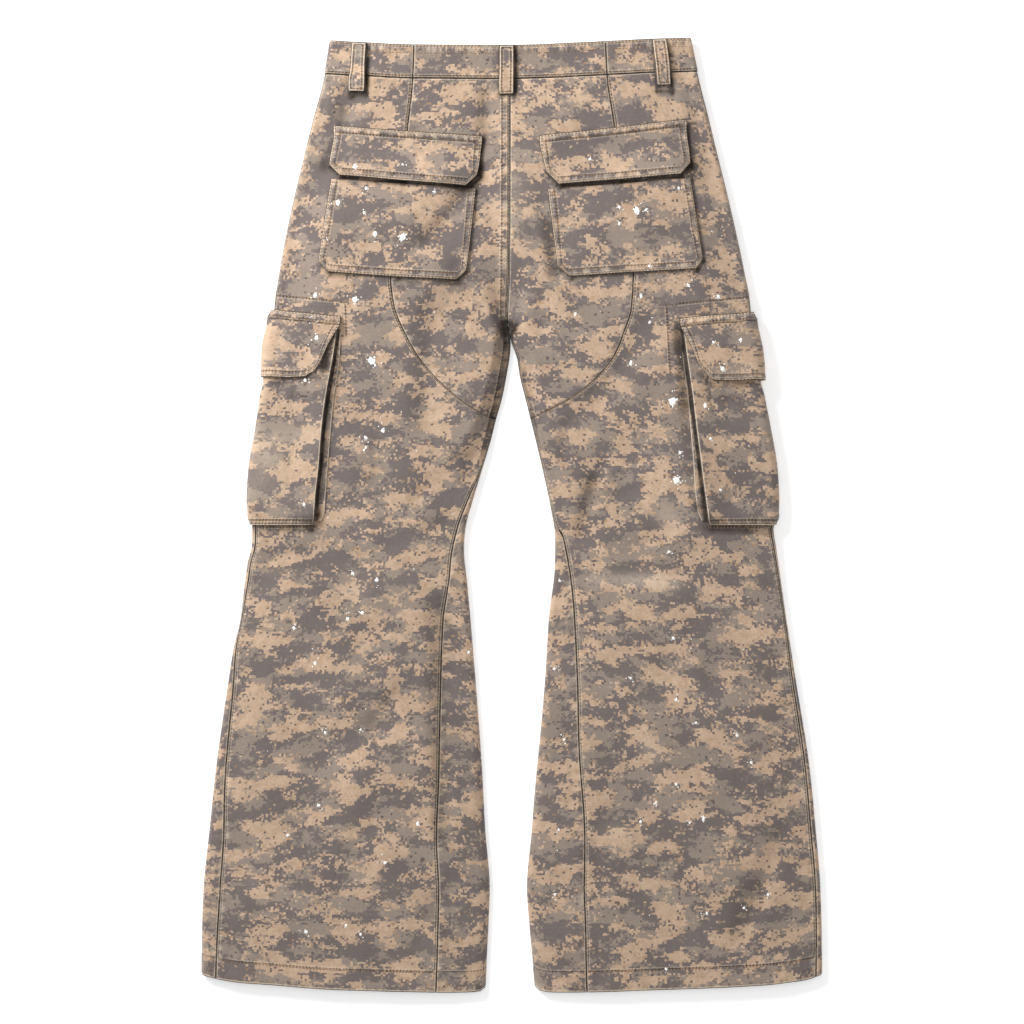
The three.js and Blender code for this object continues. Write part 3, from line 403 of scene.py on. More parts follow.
def soft_segments(segments, x, y, taper=1):
    """The sum of soft segments at each point: x0 y0 x1 y1, half width and amount. taper is how slowly
    they end, in half widths."""
    total = np.zeros(np.broadcast(x, y).shape)
    for *ends, wide, amount in zip(*segments.values()):
        reach, away, length = along_segment(x, y, *ends)
        away = away / wide
        past = np.maximum(0, np.maximum(-reach, reach - length)) / (taper * wide)
        total += amount * np.exp(-away * away - past * past)
    return total


def under_lift(side, d, y):
    """How much higher the front lies over what is sewn under it."""
    across = 1 - smooth((d - 125) / 35)
    above = 1 - smooth((y - 228) / 34)
    pocket = smooth((y + 50) / 33) * above
    flap = smooth((y - 112) / 24) * above
    cargo = across * ((CARGO_UNDER + FLOOR_ROOM) * pocket + FLAP_UNDER * flap)
    band = (BAND_UNDER + FLOOR_ROOM) * smooth((y - 408) / 32)
    from_centre = np.abs(side.inner_edge(y) - side.outer_edge(y)) - d
    fly = (FLY_UNDER + FLOOR_ROOM) * (1 - smooth((from_centre - 48) / 20)) * smooth((y - 265) / 40)
    return np.maximum(np.maximum(cargo, band), fly)


def edge_inset(y):
    pocket = smooth((y + 17) / 22) * (1 - smooth((y - 204) / 22))
    flap = smooth((y - 130) / 16) * (1 - smooth((y - 226) / 14))
    return CARGO_FACE_OUT * pocket + (FLAP_CLOTH + LAY_GAP) * flap


class Section:
    """The flattened tube's section at each level."""

    def __init__(self, side, y):
        self.outer = side.outer_edge(y) + side.inward * edge_inset(y)
        self.width = np.abs(side.inner_edge(y) - self.outer)
        lower = smooth((CROTCH_Y - 60 - y) / 80)
        self.inner_round = mix(TRUNK_ROUND, mix(THIGH_ROUND, LEG_ROUND, lower), leg_share(y))
        self.quarter_outer = math.pi / 2 * OUTER_ROUND
        self.quarter_inner = math.pi / 2 * self.inner_round
        flat = self.width - OUTER_ROUND - self.inner_round
        self.half = self.quarter_outer + flat + self.quarter_inner
        self.flat_end = self.half - self.quarter_inner


# Slow waves of the cloth: fixed draws of direction, length and phase.
_draws = np.random.default_rng(7)
WAVES = [
    (math.cos(turn) / length, math.sin(turn) / length, phase, tall)
    for turn, length, phase, tall in zip(
        _draws.uniform(0, math.pi, 16),
        _draws.uniform(7, 22, 16),
        _draws.uniform(0, 2 * math.pi, 16),
        _draws.uniform(0.08, 0.19, 16),
    )
]


def slow_waves(x, y):
    total = np.zeros(np.broadcast(x, y).shape)
    for across, along, phase, tall in WAVES:
        total += tall * np.sin(across * x + along * y + phase)
    return total


def top_height(side, cut, d, y):
    x = cut.outer + side.inward * d
    middle = middle_height(y)
    in_leg = smooth((CROTCH_Y + 110 - y) / 110)
    from_outer = 1 - smooth(d / OUTER_RISE)
    from_inner = 1 - smooth((cut.width - d - inner_ledge(y)) / inner_soft(y))
    edge_drop = (middle - edge_height(y)) * from_outer
    inner_drop = (middle - inner_height(y)) * from_inner * in_leg
    near_inner = np.maximum(1 - in_leg, smooth((cut.width - d) / 40))
    near = np.minimum(smooth(d / 30), near_inner)
    return middle - edge_drop - inner_drop - (soft_segments(FOLDS, x, y, taper=2) + slow_waves(x, y)) * near


def level_of(x, y):
    return y + waist_rise(x) * smooth((y - 380) / 100) + hem_rise(x) * smooth((-380 - y) / 120)


def place(side, u, y, out):
    """Points, in millimetres, at (u, y, out) on one half."""
    u, y, out = np.broadcast_arrays(*(np.asarray(a, float) for a in (u, y, out)))
    cut = Section(side, y)
    along = np.abs(u)
    on_top = u >= 0
    over = along > cut.half
    along = np.where(over, 2 * cut.half - along, along)
    on_top = np.where(over, ~on_top, on_top)
    outside = along < cut.quarter_outer
    rounded = outside | (along > cut.flat_end)

    d = OUTER_ROUND + along - cut.quarter_outer
    step = 0.5
    flat_z, flat_slope = [
        np.where(on_top, top, low)
        for top, low in (
            (top_height(side, cut, d, y), under_lift(side, d, y)),
            (
                top_height(side, cut, d + step, y) - top_height(side, cut, d - step, y),
                under_lift(side, d - step, y) - under_lift(side, d + step, y),
            ),
        )
    ]
    up = np.where(on_top, 1.0, -1.0)

    bend = np.where(outside, OUTER_ROUND, cut.inner_round)
    seam = np.where(outside, bend, cut.width - bend)
    high = top_height(side, cut, seam, y)
    low = under_lift(side, seam, y)
    share = np.where(outside, along / cut.quarter_outer, (cut.half - along) / cut.quarter_inner)
    angle = np.clip(share, 0, 1) * math.pi / 2
    away = np.where(outside, -1.0, 1.0)
    half_high = (high - low) / 2

    px = np.where(rounded, seam + away * bend * np.cos(angle), d)
    pz = np.where(rounded, (high + low) / 2 + up * half_high * np.sin(angle), flat_z)
    nx = np.where(rounded, away * half_high * np.cos(angle), -flat_slope)
    nz = np.where(rounded, up * bend * np.sin(angle), up)
    size = np.hypot(nx, nz)
    x = cut.outer + side.inward * (px + nx / size * out)
    return np.stack([x, level_of(x, y), pz + nz / size * out], axis=-1)


def top_u(side, x, y):
    cut = Section(side, y)
    return np.minimum(cut.quarter_outer - OUTER_ROUND + np.abs(x - cut.outer), cut.half)


def on_trunk(x, y, out):
    """A place on top of the trunk, on whichever half lies there."""
    x, y, out = np.broadcast_arrays(*(np.asarray(a, float) for a in (x, y, out)))
    on_left = x < LEFT.inner_edge(y)
    halves = []
    for side in SIDES:
        u = np.minimum(top_u(side, x, y), Section(side, y).flat_end)
        halves.append(place(side, u, y, out))
    return np.where(on_left[..., None], halves[0], halves[1])


def refined(length, step, both_ends=True):
    """Shares from 0 to 1 of a length, a step apart and closer at its ends."""
    inner = np.linspace(0, 1, max(2, int(math.ceil(length / step))) + 1)
    near = np.array(EDGE_STEPS) / length
    near = near[near < 0.2]
    extra = [near, 1 - near] if both_ends else [near]
    joined = np.unique(np.concatenate([inner, *extra]).round(6))
    keep = [0.0]
    for share in joined[1:]:
        if (share - keep[-1]) * length > 0.45:
            keep.append(share)
    keep[-1] = 1.0
    return np.array(keep)


def spread(knots, shares_list):
    """Columns between knots, one set of shares for each interval. knots has a row for each level."""
    parts = [knots[:, :1]]
    for k, shares in enumerate(shares_list):
        a, b = knots[:, k : k + 1], knots[:, k + 1 : k + 2]
        parts.append(a + (b - a) * shares[None, 1:])
    return np.concatenate(parts, axis=1)


def gaps_along(points, axis):
    steps = np.linalg.norm(np.diff(points, axis=axis), axis=-1)
    start = np.zeros_like(np.take(steps, [0], axis=axis))
    return np.concatenate([start, np.cumsum(steps, axis=axis)], axis=axis)


FAR = 60.0
ROW_KEYS = ("row_a", "row_b", "row_c")

# How much further off a free edge counts, so that it gets its cream line but no painted dark outline of
# shade.
LIP = 1.1


def edge_marks(points, edges):
    """Marks of a grid from its edges: (name, kind, width of its worn strip, *rows). A kind is "seam",
    "fold" or "lip", a fold that stands free and so has no painted dark outline of shade.

    seam and fold are the distances to the nearest edge of that kind, strip is the share of a worn
    strip, along is the distance along the nearest edge, and row_a and row_b are the distances to the
    rows of stitching, which lie this far inside an edge. row_c is for rows that cross a panel.
    """
    across = gaps_along(points, 1)
    down = gaps_along(points, 0)
    distances = {
        "first": across,
        "last": across[:, -1:] - across,
        "top": down,
        "low": down[-1:, :] - down,
    }
    marks = {key: np.full(across.shape, FAR) for key in ("seam", "fold", *ROW_KEYS)}
    nearest = np.full(across.shape, FAR)
    along = 0 * across
    strip = 0 * across
    for name, kind, wide, *rows in edges:
        distance = distances[name]
        for key, row in zip(ROW_KEYS, rows):
            marks[key] = np.minimum(marks[key], distance - row)
        if kind == "lip":
            marks["fold"] = np.minimum(marks["fold"], distance + LIP)
        else:
            marks[kind] = np.minimum(marks[kind], distance)
        along = np.where(distance < nearest, down if name in ("first", "last") else across, along)
        nearest = np.minimum(nearest, distance)
        if wide:
            strip = np.maximum(strip, smooth(distance / 1.2) * (1 - smooth((distance - wide + 1) / 1.5)))
    marks["along"] = along
    marks["strip"] = strip
    return marks


MATERIALS = {}
PIECES = {}
GRIDS = {}
TREES = {}
STITCH_PITCH = 3.7

# How far the print moves from one piece to the next, so that no seam matches.
UV_SHIFT = np.array([371.0, 533.0])


def new_piece(name, points, faces, material):
    """A smooth mesh from points in millimetres, on the fixed body, with the material of the named slot."""
    mesh = bpy.data.meshes.new(name)
    mesh.from_pydata((np.asarray(points) * MM).tolist(), [], faces)
    mesh.polygons.foreach_set("use_smooth", np.ones(len(mesh.polygons), bool))
    mesh.materials.append(MATERIALS[material])
    piece = bpy.data.objects.new(name, mesh)
    bpy.context.collection.objects.link(piece)
    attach(piece, "root")
    return piece


def closed_mesh(name, outer, inner, uv, marks):
    """A closed wall from an outer and an inner grid of points, with its marks on every point."""
    rows, columns = outer.shape[0] - 1, outer.shape[1] - 1
    across = columns + 1
    size = (rows + 1) * across
    points = np.concatenate([outer.reshape(-1, 3), inner.reshape(-1, 3)])
    index = np.arange(size).reshape(rows + 1, across)
    a, b = index[:-1, :-1].ravel(), index[:-1, 1:].ravel()
    c, d = index[1:, 1:].ravel(), index[1:, :-1].ravel()
    quads = [np.stack([a, b, c, d], 1), np.stack([a, d, c, b], 1) + size]

    def rim(line):
        quads.append(np.stack([line[1:], line[:-1], line[:-1] + size, line[1:] + size], 1))

    rim(index[0])
    rim(index[-1][::-1])
    rim(index[:, 0][::-1])
    rim(index[:, -1])
    faces = np.concatenate(quads)
    corners = points[faces]
    area = np.cross(corners[:, 2] - corners[:, 0], corners[:, 3] - corners[:, 1])
    middle = corners.mean(axis=1) - points.mean(axis=0)
    if (area * middle).sum() < 0:
        faces = faces[:, ::-1]
    piece = new_piece(name, points, faces.tolist(), "cloth")
    layer = piece.data.uv_layers.new(name="cloth")
    doubled = np.concatenate([uv.reshape(-1, 2), uv.reshape(-1, 2)]) * MM
    layer.data.foreach_set("uv", doubled[faces.ravel()].ravel().astype(np.float32))
    for key, values in marks.items():
        mark = piece.data.attributes.new(key, "FLOAT", "POINT")
        both = np.concatenate([values.ravel(), values.ravel()]).astype(np.float32)
        mark.data.foreach_set("value", both)
    return piece


def grid_area(points):
    a, b = points[:-1, :-1], points[:-1, 1:]
    c, d = points[1:, 1:], points[1:, :-1]
    return float(np.linalg.norm(np.cross(c - a, d - b), axis=-1).sum() / 2)


def cast_shades():
    """Shades beside the patches' right ends and under their low ends, and round the loops."""
    rows = []

    def add(start, end, share):
        shift = (CAST_SHADE["right"], -CAST_SHADE["below"])
        ends = [value + move for point in (start, end) for value, move in zip(point, shift)]
        rows.append((*ends, CAST_SHADE["wide"], share * CAST_SHADE["amount"]))

    for patches, share in ((BACK_POCKETS, 0.8), (BACK_FLAPS, 1.25)):
        for columns in patches.values():
            tops = list(zip(columns["topX"], columns["topY"]))
            lows = list(zip(columns["lowX"], columns["lowY"]))
            add(tops[-1], lows[-1], share)
            for start, end in zip(lows, lows[1:]):
                add(start, end, share)
    for loop in BACK_LOOPS.values():
        for edge in (-0.5, 0.5):
            shift = edge * LOOP_WIDTH
            share = 1.5 if edge > 0 else 0.9
            low_y = LOOP_LOW_Y + loop["rise"]
            add((loop["top"] + shift, LOOP_TOP_Y), (loop["low"] + shift, low_y), share)
        add((loop["low"] - LOOP_WIDTH / 2, low_y), (loop["low"] + LOOP_WIDTH / 2, low_y), 1.2)
    return table(" ".join(PAINTED_SHADE_AND_LIGHT), rows)


# Grime and fading, with painted shade in creases, in hollows and under the patches, and painted highlights
# on ridges.
def stain_and_shade_at(node, points):
    x, y = points[..., 0], points[..., 1]
    amount = np.zeros(points.shape[:-1])
    for x0, y0, wide, tall, much in zip(*STAIN_AND_SHADE_SPOTS.values()):
        amount += much * np.exp(-(((x - x0) / wide) ** 2) - ((y - y0) / tall) ** 2)
    if "flap" not in node and "loop" not in node:
        amount += soft_segments(PAINTED_SHADE_AND_LIGHT, x, y)
        amount += soft_segments(CAST, x, y)
    return amount


CAST = cast_shades()


def cloth_piece(node, outer, inner, uv, marks, stain=0):
    """A cloth shell that stands for one node: marked and placed, with its frame part hidden; its flat size
    is measured but not kept.
    """
    shifted = uv + UV_SHIFT * (len(PIECES) + 1)
    marks = dict(marks, stain=np.clip(stain_and_shade_at(node, outer) + stain, -1, 1))
    piece = closed_mesh(node + "_cloth", outer, inner, shifted, marks)
    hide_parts(node)
    width = gaps_along(outer, 1)[:, -1].max() * MM
    length = gaps_along(outer, 0)[-1].max() * MM
    area = grid_area(outer) * MM * MM
    PIECES[node] = piece
    GRIDS[node] = outer
    return piece


def turned(distance, deep, wide):
    """The drop of a turned or sewn edge, at a distance from it."""
    return deep * np.exp(-((distance / wide) ** 2))


def levels_between(values, step):
    """Levels from the first value to the last, a step apart, closer at the ends, through each."""
    values = list(values)
    rows = []
    for k in range(len(values) - 1):
        length = abs(values[k + 1] - values[k])
        shares = refined(length, step)
        rows += [mix(values[k], values[k + 1], s) for s in shares[:-1]]
    return np.array(rows + [values[-1]])


def mark_lines(marks, points, lines):
    """Marks rows of stitching that cross a panel, each from one point to another."""
    x, y = points[..., 0], points[..., 1]
    free = marks["row_c"]
    for start, end in lines:
        reach, away, length = along_segment(x, y, *start, *end)
        near = (reach > -1) & (reach < length + 1) & (np.abs(away) < 9)
        free = np.where(near, away, np.where(free == FAR, FAR * np.sign(away + 1e-9), free))
        marks["along"] = np.where(near, reach, marks["along"])
    marks["row_c"] = free


def panel(node, side, levels, knots_at, steps, step, out_at, cloth, edges, stain_and_shade_of=None):
    """A panel from levels and knots. steps says how each interval is divided: closer at its start,
    its end or both, or a plain number. out_at gives the height from u, y and the edge marks."""
    knots = np.array([knots_at(y) for y in levels])
    shares = []
    for k, refine in enumerate(steps):
        widest = np.abs(knots[:, k + 1] - knots[:, k]).max()
        if refine == "both":
            shares.append(refined(widest, step))
        elif refine == "start":
            shares.append(refined(widest, step, both_ends=False))
        elif refine == "end":
            shares.append(1 - refined(widest, step, both_ends=False)[::-1])
        else:
            shares.append(np.linspace(0, 1, refine + 1))
    u = spread(knots, shares)
    y = np.repeat(levels[:, None], u.shape[1], axis=1)
    laid = place(side, u, y, 0)
    marks = edge_marks(laid, edges)
    if node in FREE_ROWS:
        mark_lines(marks, laid, FREE_ROWS[node])
    out = out_at(u, y, marks)
    plain = out_at(u, y, {"seam": FAR, "fold": FAR, "strip": 0})
    outer = place(side, u, y, out)
    inner = place(side, u, y, np.minimum(out, plain) - cloth)
    uv = np.stack([side.inward * u, y], axis=-1)
    stain = stain_and_shade_of(u, y) if stain_and_shade_of else 0
    return cloth_piece(node, outer, inner, uv, marks, stain)


def back_end(side, y):
    cut = Section(side, y)
    return mix(cut.flat_end, cut.half - side.inseam(y), leg_share(y)) - SEAM_GAP / 2


def front_end(side, y):
    cut = Section(side, y)
    centre = cut.flat_end - SEAM_GAP / 2
    return -mix(centre, cut.half + side.inseam(y) - SEAM_GAP / 2, leg_share(y))


def seam_u(side, y):
    return np.minimum(top_u(side, side.curved_seam(y), y), back_end(side, y))


def crest_u(side, y):
    """Where the back's inner edge is folded: beside the lapped seam above, on the inner thigh below."""
    cut = Section(side, y)
    above = back_end(side, y) - (LAP_WIDE if side is LEFT else 6)
    return mix(above, cut.half - side.strip_wide(y), leg_share(y))


def crest_share(y):
    return smooth((214 - y) / 10) * smooth((y - 30) / 60)


SEAM_GROOVE = 0.75
SEAM_GROOVE_WIDE = 1.4
HEM_EDGE = 0.5
LAP_RAISE = 0.6
LAP_WIDE = 9.5
LAP_ROWS = (1.4, 8.3)
SEAM_ROW = 1.8
CREST_RAISE = 0.9


def panel_out(u, y, marks):
    hem = 0.4 * smooth((HEM_Y + HEM_TURN - y) / 2 + 0.5)
    groove = turned(marks["seam"], SEAM_GROOVE, SEAM_GROOVE_WIDE)
    return hem - groove - turned(marks["fold"], HEM_EDGE, 1)


def back_out(side):
    def out_at(u, y, marks):
        crest = np.exp(-(((u - crest_u(side, y)) / 1.5) ** 2)) * crest_share(y)
        return panel_out(u, y, marks) + CREST_RAISE * crest

    return out_at


def back_strip_stain_and_shade(side):
    """The inner strip's worn brown, with painted shade that deepens towards the crotch, and a pale line on
    the crest.
    """
    def stain_and_shade_at(u, y):
        from_crest = u - crest_u(side, y)
        share = crest_share(y)
        deepest = mix(0.5, 1.0, smooth((y - 186) / 18))
        strip = smooth((from_crest + 0.4) / 1.2) * deepest * share
        pale = np.exp(-(((from_crest + 0.8) / 0.9) ** 2)) * 0.7 * share
        return strip - pale

    return stain_and_shade_at


ALL_LEVELS = levels_between([WAIST_SEAM_Y - SEAM_GAP / 2, CROTCH_Y, CURVED_SEAM_END_Y, HEM_Y], TOP_STEP)
FRONT_LEVELS = levels_between([WAIST_SEAM_Y - SEAM_GAP / 2, CROTCH_Y, HEM_Y], UNDER_STEP)
SEAT_LOW_Y = 107
SEAT_LEVELS = levels_between([WAIST_SEAM_Y - SEAM_GAP / 2, CROTCH_Y, SEAT_LOW_Y], TOP_STEP)
FLY_STEP = 24


def add_front(side):
    def knots_at(y):
        cut = Section(side, y)
        end = front_end(side, y)
        leg = leg_share(y)
        inner_low = mix(end + 2 * FLY_STEP, -cut.flat_end, leg)
        inner_mid = mix(end + FLY_STEP, -cut.half, leg)
        start = side.outseam(y) - SEAM_GAP / 2
        return [start, 0, -cut.quarter_outer, inner_low, inner_mid, end]

    # The front's inner strip, painted darker as the shade it lies in beside the crotch.
    def stain_and_shade_of(u, y):
        strip = smooth((np.abs(u) - Section(side, y).flat_end + 6) / 6)
        return strip * crest_share(y) * 0.6

    panel(
        f"front_{side.name}", side, FRONT_LEVELS, knots_at, ["start", 5, 24, 5, "end"], UNDER_STEP,
        panel_out, PANEL_CLOTH,
        [("top", "seam", 0), ("first", "seam", 0), ("last", "seam", 6), ("low", "fold", 4, HEM_TURN)],
        stain_and_shade_of,
    )


def add_back_leg(side):
    def knots_at(y):
        cut = Section(side, y)
        start = side.outseam(y) + SEAM_GAP / 2
        in_trunk = y > CURVED_SEAM_END_Y
        end = seam_u(side, y) - SEAM_GAP / 2 if in_trunk else back_end(side, y)
        turn = max(cut.quarter_outer, start + 4)
        crest = min(crest_u(side, y), end - 3) if not in_trunk and y > 15 else end - 8
        return [start, turn, min(crest, end - 3), end]

    panel(
        f"back_leg_{side.name}", side, ALL_LEVELS, knots_at, ["start", 60, "both"], TOP_STEP,
        back_out(side), PANEL_CLOTH,
        [
            ("top", "seam", 0), ("first", "seam", 5, 1.8), ("last", "seam", 0, SEAM_ROW),
            ("low", "fold", 4, HEM_TURN),
        ],
        back_strip_stain_and_shade(side),
    )


def add_back_seat(side):
    def knots_at(y):
        start = seam_u(side, y) + SEAM_GAP / 2
        end = back_end(side, y)
        crest = min(crest_u(side, y), end - 2.5)
        return [start, max(crest, mix(start, end, 0.3)), end]

    plain_out = back_out(side)

    def out_at(u, y, marks):
        base = plain_out(u, y, marks)
        if side is LEFT:
            lapped = smooth((u - back_end(side, y) + LAP_WIDE) / 1.4 + 0.5)
            base = base + LAP_RAISE * lapped * smooth((y - CROTCH_Y + 4) / 8)
        return base

    centre = ("last", "seam", LAP_WIDE, *LAP_ROWS) if side is LEFT else ("last", "seam", 0)
    panel(
        f"back_seat_{side.name}", side, SEAT_LEVELS, knots_at, ["start", "both"], TOP_STEP,
        out_at, PANEL_CLOTH, [("top", "seam", 0), ("first", "seam", 7), centre],
        back_strip_stain_and_shade(side),
    )


BAND_LEVELS = levels_between([WAIST_SEAM_Y + BAND_HEIGHT, WAIST_SEAM_Y + SEAM_GAP / 2], PATCH_STEP)
BAND_EDGES = [("top", "fold", 10, 2), ("low", "seam", 6, 2), ("first", "seam", 0), ("last", "seam", 0)]


def band_out(u, y, marks):
    return BAND_PROUD - turned(marks["seam"], 0.6, 1.2) - turned(marks["fold"], 0.5, 0.9)


def add_waistband():
    y = np.repeat(BAND_LEVELS[:, None], 1, axis=1)
    low = LEFT.curved_seam(y) + SEAM_GAP / 2
    high = RIGHT.curved_seam(y) - SEAM_GAP / 2
    x = low + (high - low) * refined(212, TOP_STEP)[None, :]
    y = np.repeat(y, x.shape[1], axis=1)
    marks = edge_marks(on_trunk(x, y, 0), BAND_EDGES)
    outer = on_trunk(x, y, band_out(x, y, marks))
    inner = on_trunk(x, y, BAND_PROUD - BAND_CLOTH)
    uv = np.stack([x, y], axis=-1)
    cloth_piece("waistband_back", outer, inner, uv, marks)
    for side in SIDES:

        def knots_at(level):
            cut = Section(side, level)
            start = top_u(side, side.curved_seam(level), level) - SEAM_GAP / 2
            end = -(cut.flat_end - SEAM_GAP / 2)
            return [start, cut.quarter_outer, -cut.quarter_outer, end]

        panel(
            f"waistband_{side.name}", side, BAND_LEVELS, knots_at, ["start", 9, "end"], TOP_STEP,
            band_out, BAND_CLOTH, BAND_EDGES,
        )


def band_shares(heights, step, band):
    """Shares down each column, closer together beside a band's low edge."""
    fixed = np.array([0, 0.6, 1.4, 2.8, *np.arange(2.8 + step, band - 2, step), *(band + BAND_ROWS)])
    near = fixed[:, None] / heights
    rest = refined(float(heights.max()) - fixed[-1], step)[1:, None]
    return np.concatenate([near, mix(near[-1:], 1, rest)])


def patch_grid(columns, steps_across, step, band=0):
    """A patch's x, y and its shares down and across, from its columns between two edges. Its ends
    hardly slant beside a band at its top."""
    shares = []
    for k, steps in enumerate(steps_across):
        shares.append(np.linspace(0, 1, steps + 1) if isinstance(steps, int) else steps)
    top_x, top_y, low_x, low_y = (
        spread(columns[key][None, :], shares)[0] for key in ("topX", "topY", "lowX", "lowY")
    )
    heights = np.abs(top_y - low_y)[None, :]
    down = band_shares(heights, step, band) if band else refined(float(heights.max()), step)[:, None]
    slant = np.maximum(0.25 * down, (down * heights - band) / (heights - band))
    x = mix(top_x[None, :], low_x[None, :], slant)
    y = mix(top_y[None, :], low_y[None, :], down)
    across = np.linspace(0, 1, x.shape[1])[None, :] + 0 * x
    return x, y, down + 0 * x, across


CORNER_STEPS = np.array([0, 0.08, 0.2, 0.45, 0.72, 1])
BAND_ROWS = np.array([-1.4, -0.7, -0.1, 0.5, 1.2, 2.2])


def trunk_patch(node, columns, out_at, cloth, edges, band=0):
    wide = [CORNER_STEPS, 20, 20, 1 - CORNER_STEPS[::-1]]
    x, y, down, across = patch_grid(columns, wide, PATCH_STEP, band)
    marks = edge_marks(on_trunk(x, y, 0), edges)
    out = out_at(x, y, down, across, marks)
    outer = on_trunk(x, y, out - turned(marks["fold"], 0.5, 0.8))
    inner = on_trunk(x, y, out - cloth)
    uv = np.stack([x, y], axis=-1)
    return cloth_piece(node, outer, inner, uv, marks)


def all_edges(kind, wide, names, *rows):
    return [(name, kind, wide, *rows) for name in names.split()]


def add_back_pocket(side):
    def pocket_out(x, y, down, across, marks):
        puff = POCKET_PUFF * np.sin(np.pi * down) * np.sin(np.pi * across)
        return PATCH_GAP + POCKET_CLOTH + puff + 0.4 * smooth((8.2 - marks["fold"]) / 1.2)

    trunk_patch(
        f"back_pocket_{side.name}", BACK_POCKETS[side.name], pocket_out, POCKET_CLOTH,
        all_edges("fold", 8, "first last low", *PATCH_ROWS),
    )

    def flap_out(x, y, down, across, marks):
        over = (LAY_GAP + POCKET_CLOTH + 0.8) * smooth((down - 0.35) / 0.5)
        from_top = y[:1] - y
        band = FLAP_BAND_HIGH * smooth((FLAP_BAND - from_top) / 1.2)
        rim = 0.35 * smooth((8 - marks["fold"]) / 1.2)
        return PATCH_GAP + FLAP_CLOTH + over + np.maximum(band, rim)

    columns = BACK_FLAPS[side.name]
    trunk_patch(
        f"back_flap_{side.name}", columns, flap_out, FLAP_CLOTH,
        all_edges("fold", 7.5, "first last low", *PATCH_ROWS)
        + [("top", "fold", FLAP_BAND, PATCH_ROWS[0], FLAP_BAND - 0.9)],
        FLAP_BAND,
    )


def cargo_half(side, y):
    return top_u(side, side.cargo_rear(y), y)


def cargo_out(side, u, y):
    half = cargo_half(side, y)
    rear = smooth(1 - (half - u) / CARGO_REAR_RISE) * (1 - smooth((y - 150) / 60))
    under = mix(CARGO_FACE_OUT, CARGO_UNDER, smooth(-u / 12))
    full = np.where(u > 0, CARGO_FACE_OUT, under)
    free = full + (CARGO_REAR_OUT - CARGO_FACE_OUT) * rear
    sewn = LAY_GAP + POCKET_CLOTH
    from_sewn = np.minimum(u + half, y - CARGO_BOTTOM_Y)
    return mix(sewn, free, smooth(from_sewn / CARGO_EDGE_TURN))


def add_cargo_pocket(side):
    levels = levels_between([CARGO_TOP_Y, CARGO_BOTTOM_Y], PATCH_STEP)

    def knots_at(y):
        half = cargo_half(side, y)
        turn = Section(side, y).quarter_outer
        return [half, turn, -turn, -half]

    def out_at(u, y, marks):
        rim = 0.3 * smooth((5 - marks["fold"]) / 1.2)
        return cargo_out(side, u, y) - turned(marks["fold"], 0.5, 0.8) + rim

    panel(
        f"cargo_pocket_{side.name}", side, levels, knots_at, ["start", 8, "end"], PATCH_STEP,
        out_at, POCKET_CLOTH,
        [("first", "lip", 0), ("last", "fold", 5, *CARGO_ROWS), ("low", "lip", 7, *CARGO_ROWS)],
    )


def add_cargo_gusset(side):
    levels = levels_between([GUSSET_TOP_Y, GUSSET_LOW_Y], PATCH_STEP)[:, None]
    half = cargo_half(side, levels)
    base = half + side.gusset_base(levels)
    lid = cargo_out(side, half, levels) - POCKET_CLOTH - LAY_GAP - 0.25
    low = LAY_GAP + GUSSET_CLOTH
    crease = mix(low, lid, 0.35)
    under = [
        (base, LAY_GAP + 0 * base), (half, crease - GUSSET_CLOTH),
        (half - GUSSET_TUCK, crease), (half, lid),
    ]
    over = [
        (base, low + 0 * base), (half, crease), (half - 3, mix(crease, lid, 0.35)),
        (half + 1, lid - 0.9),
    ]

    def chain(knots):
        us, outs = (np.concatenate([k[part] for k in knots], axis=1) for part in (0, 1))
        shares = [refined(10, 1.6), np.linspace(0, 1, 4), np.linspace(0, 1, 4)]
        u = spread(us, shares)
        return place(side, u, levels, spread(outs, shares)), u - half

    outer, beyond = chain(over)
    inner, _ = chain(under)
    marks = edge_marks(outer, [("first", "lip", 3)])
    across = gaps_along(outer, 1)
    uv = np.stack([across, levels + 0 * across], axis=-1)
    # Painted shade: darker past the base strip, and darkest in the gap behind the pocket's rear edge.
    stain = 0.3 * smooth((across - 2.5) / 2) + 0.95 * (1 - smooth((beyond - 2.6) / 2.4))
    cloth_piece(f"cargo_gusset_{side.name}", outer, inner, uv, marks, stain)


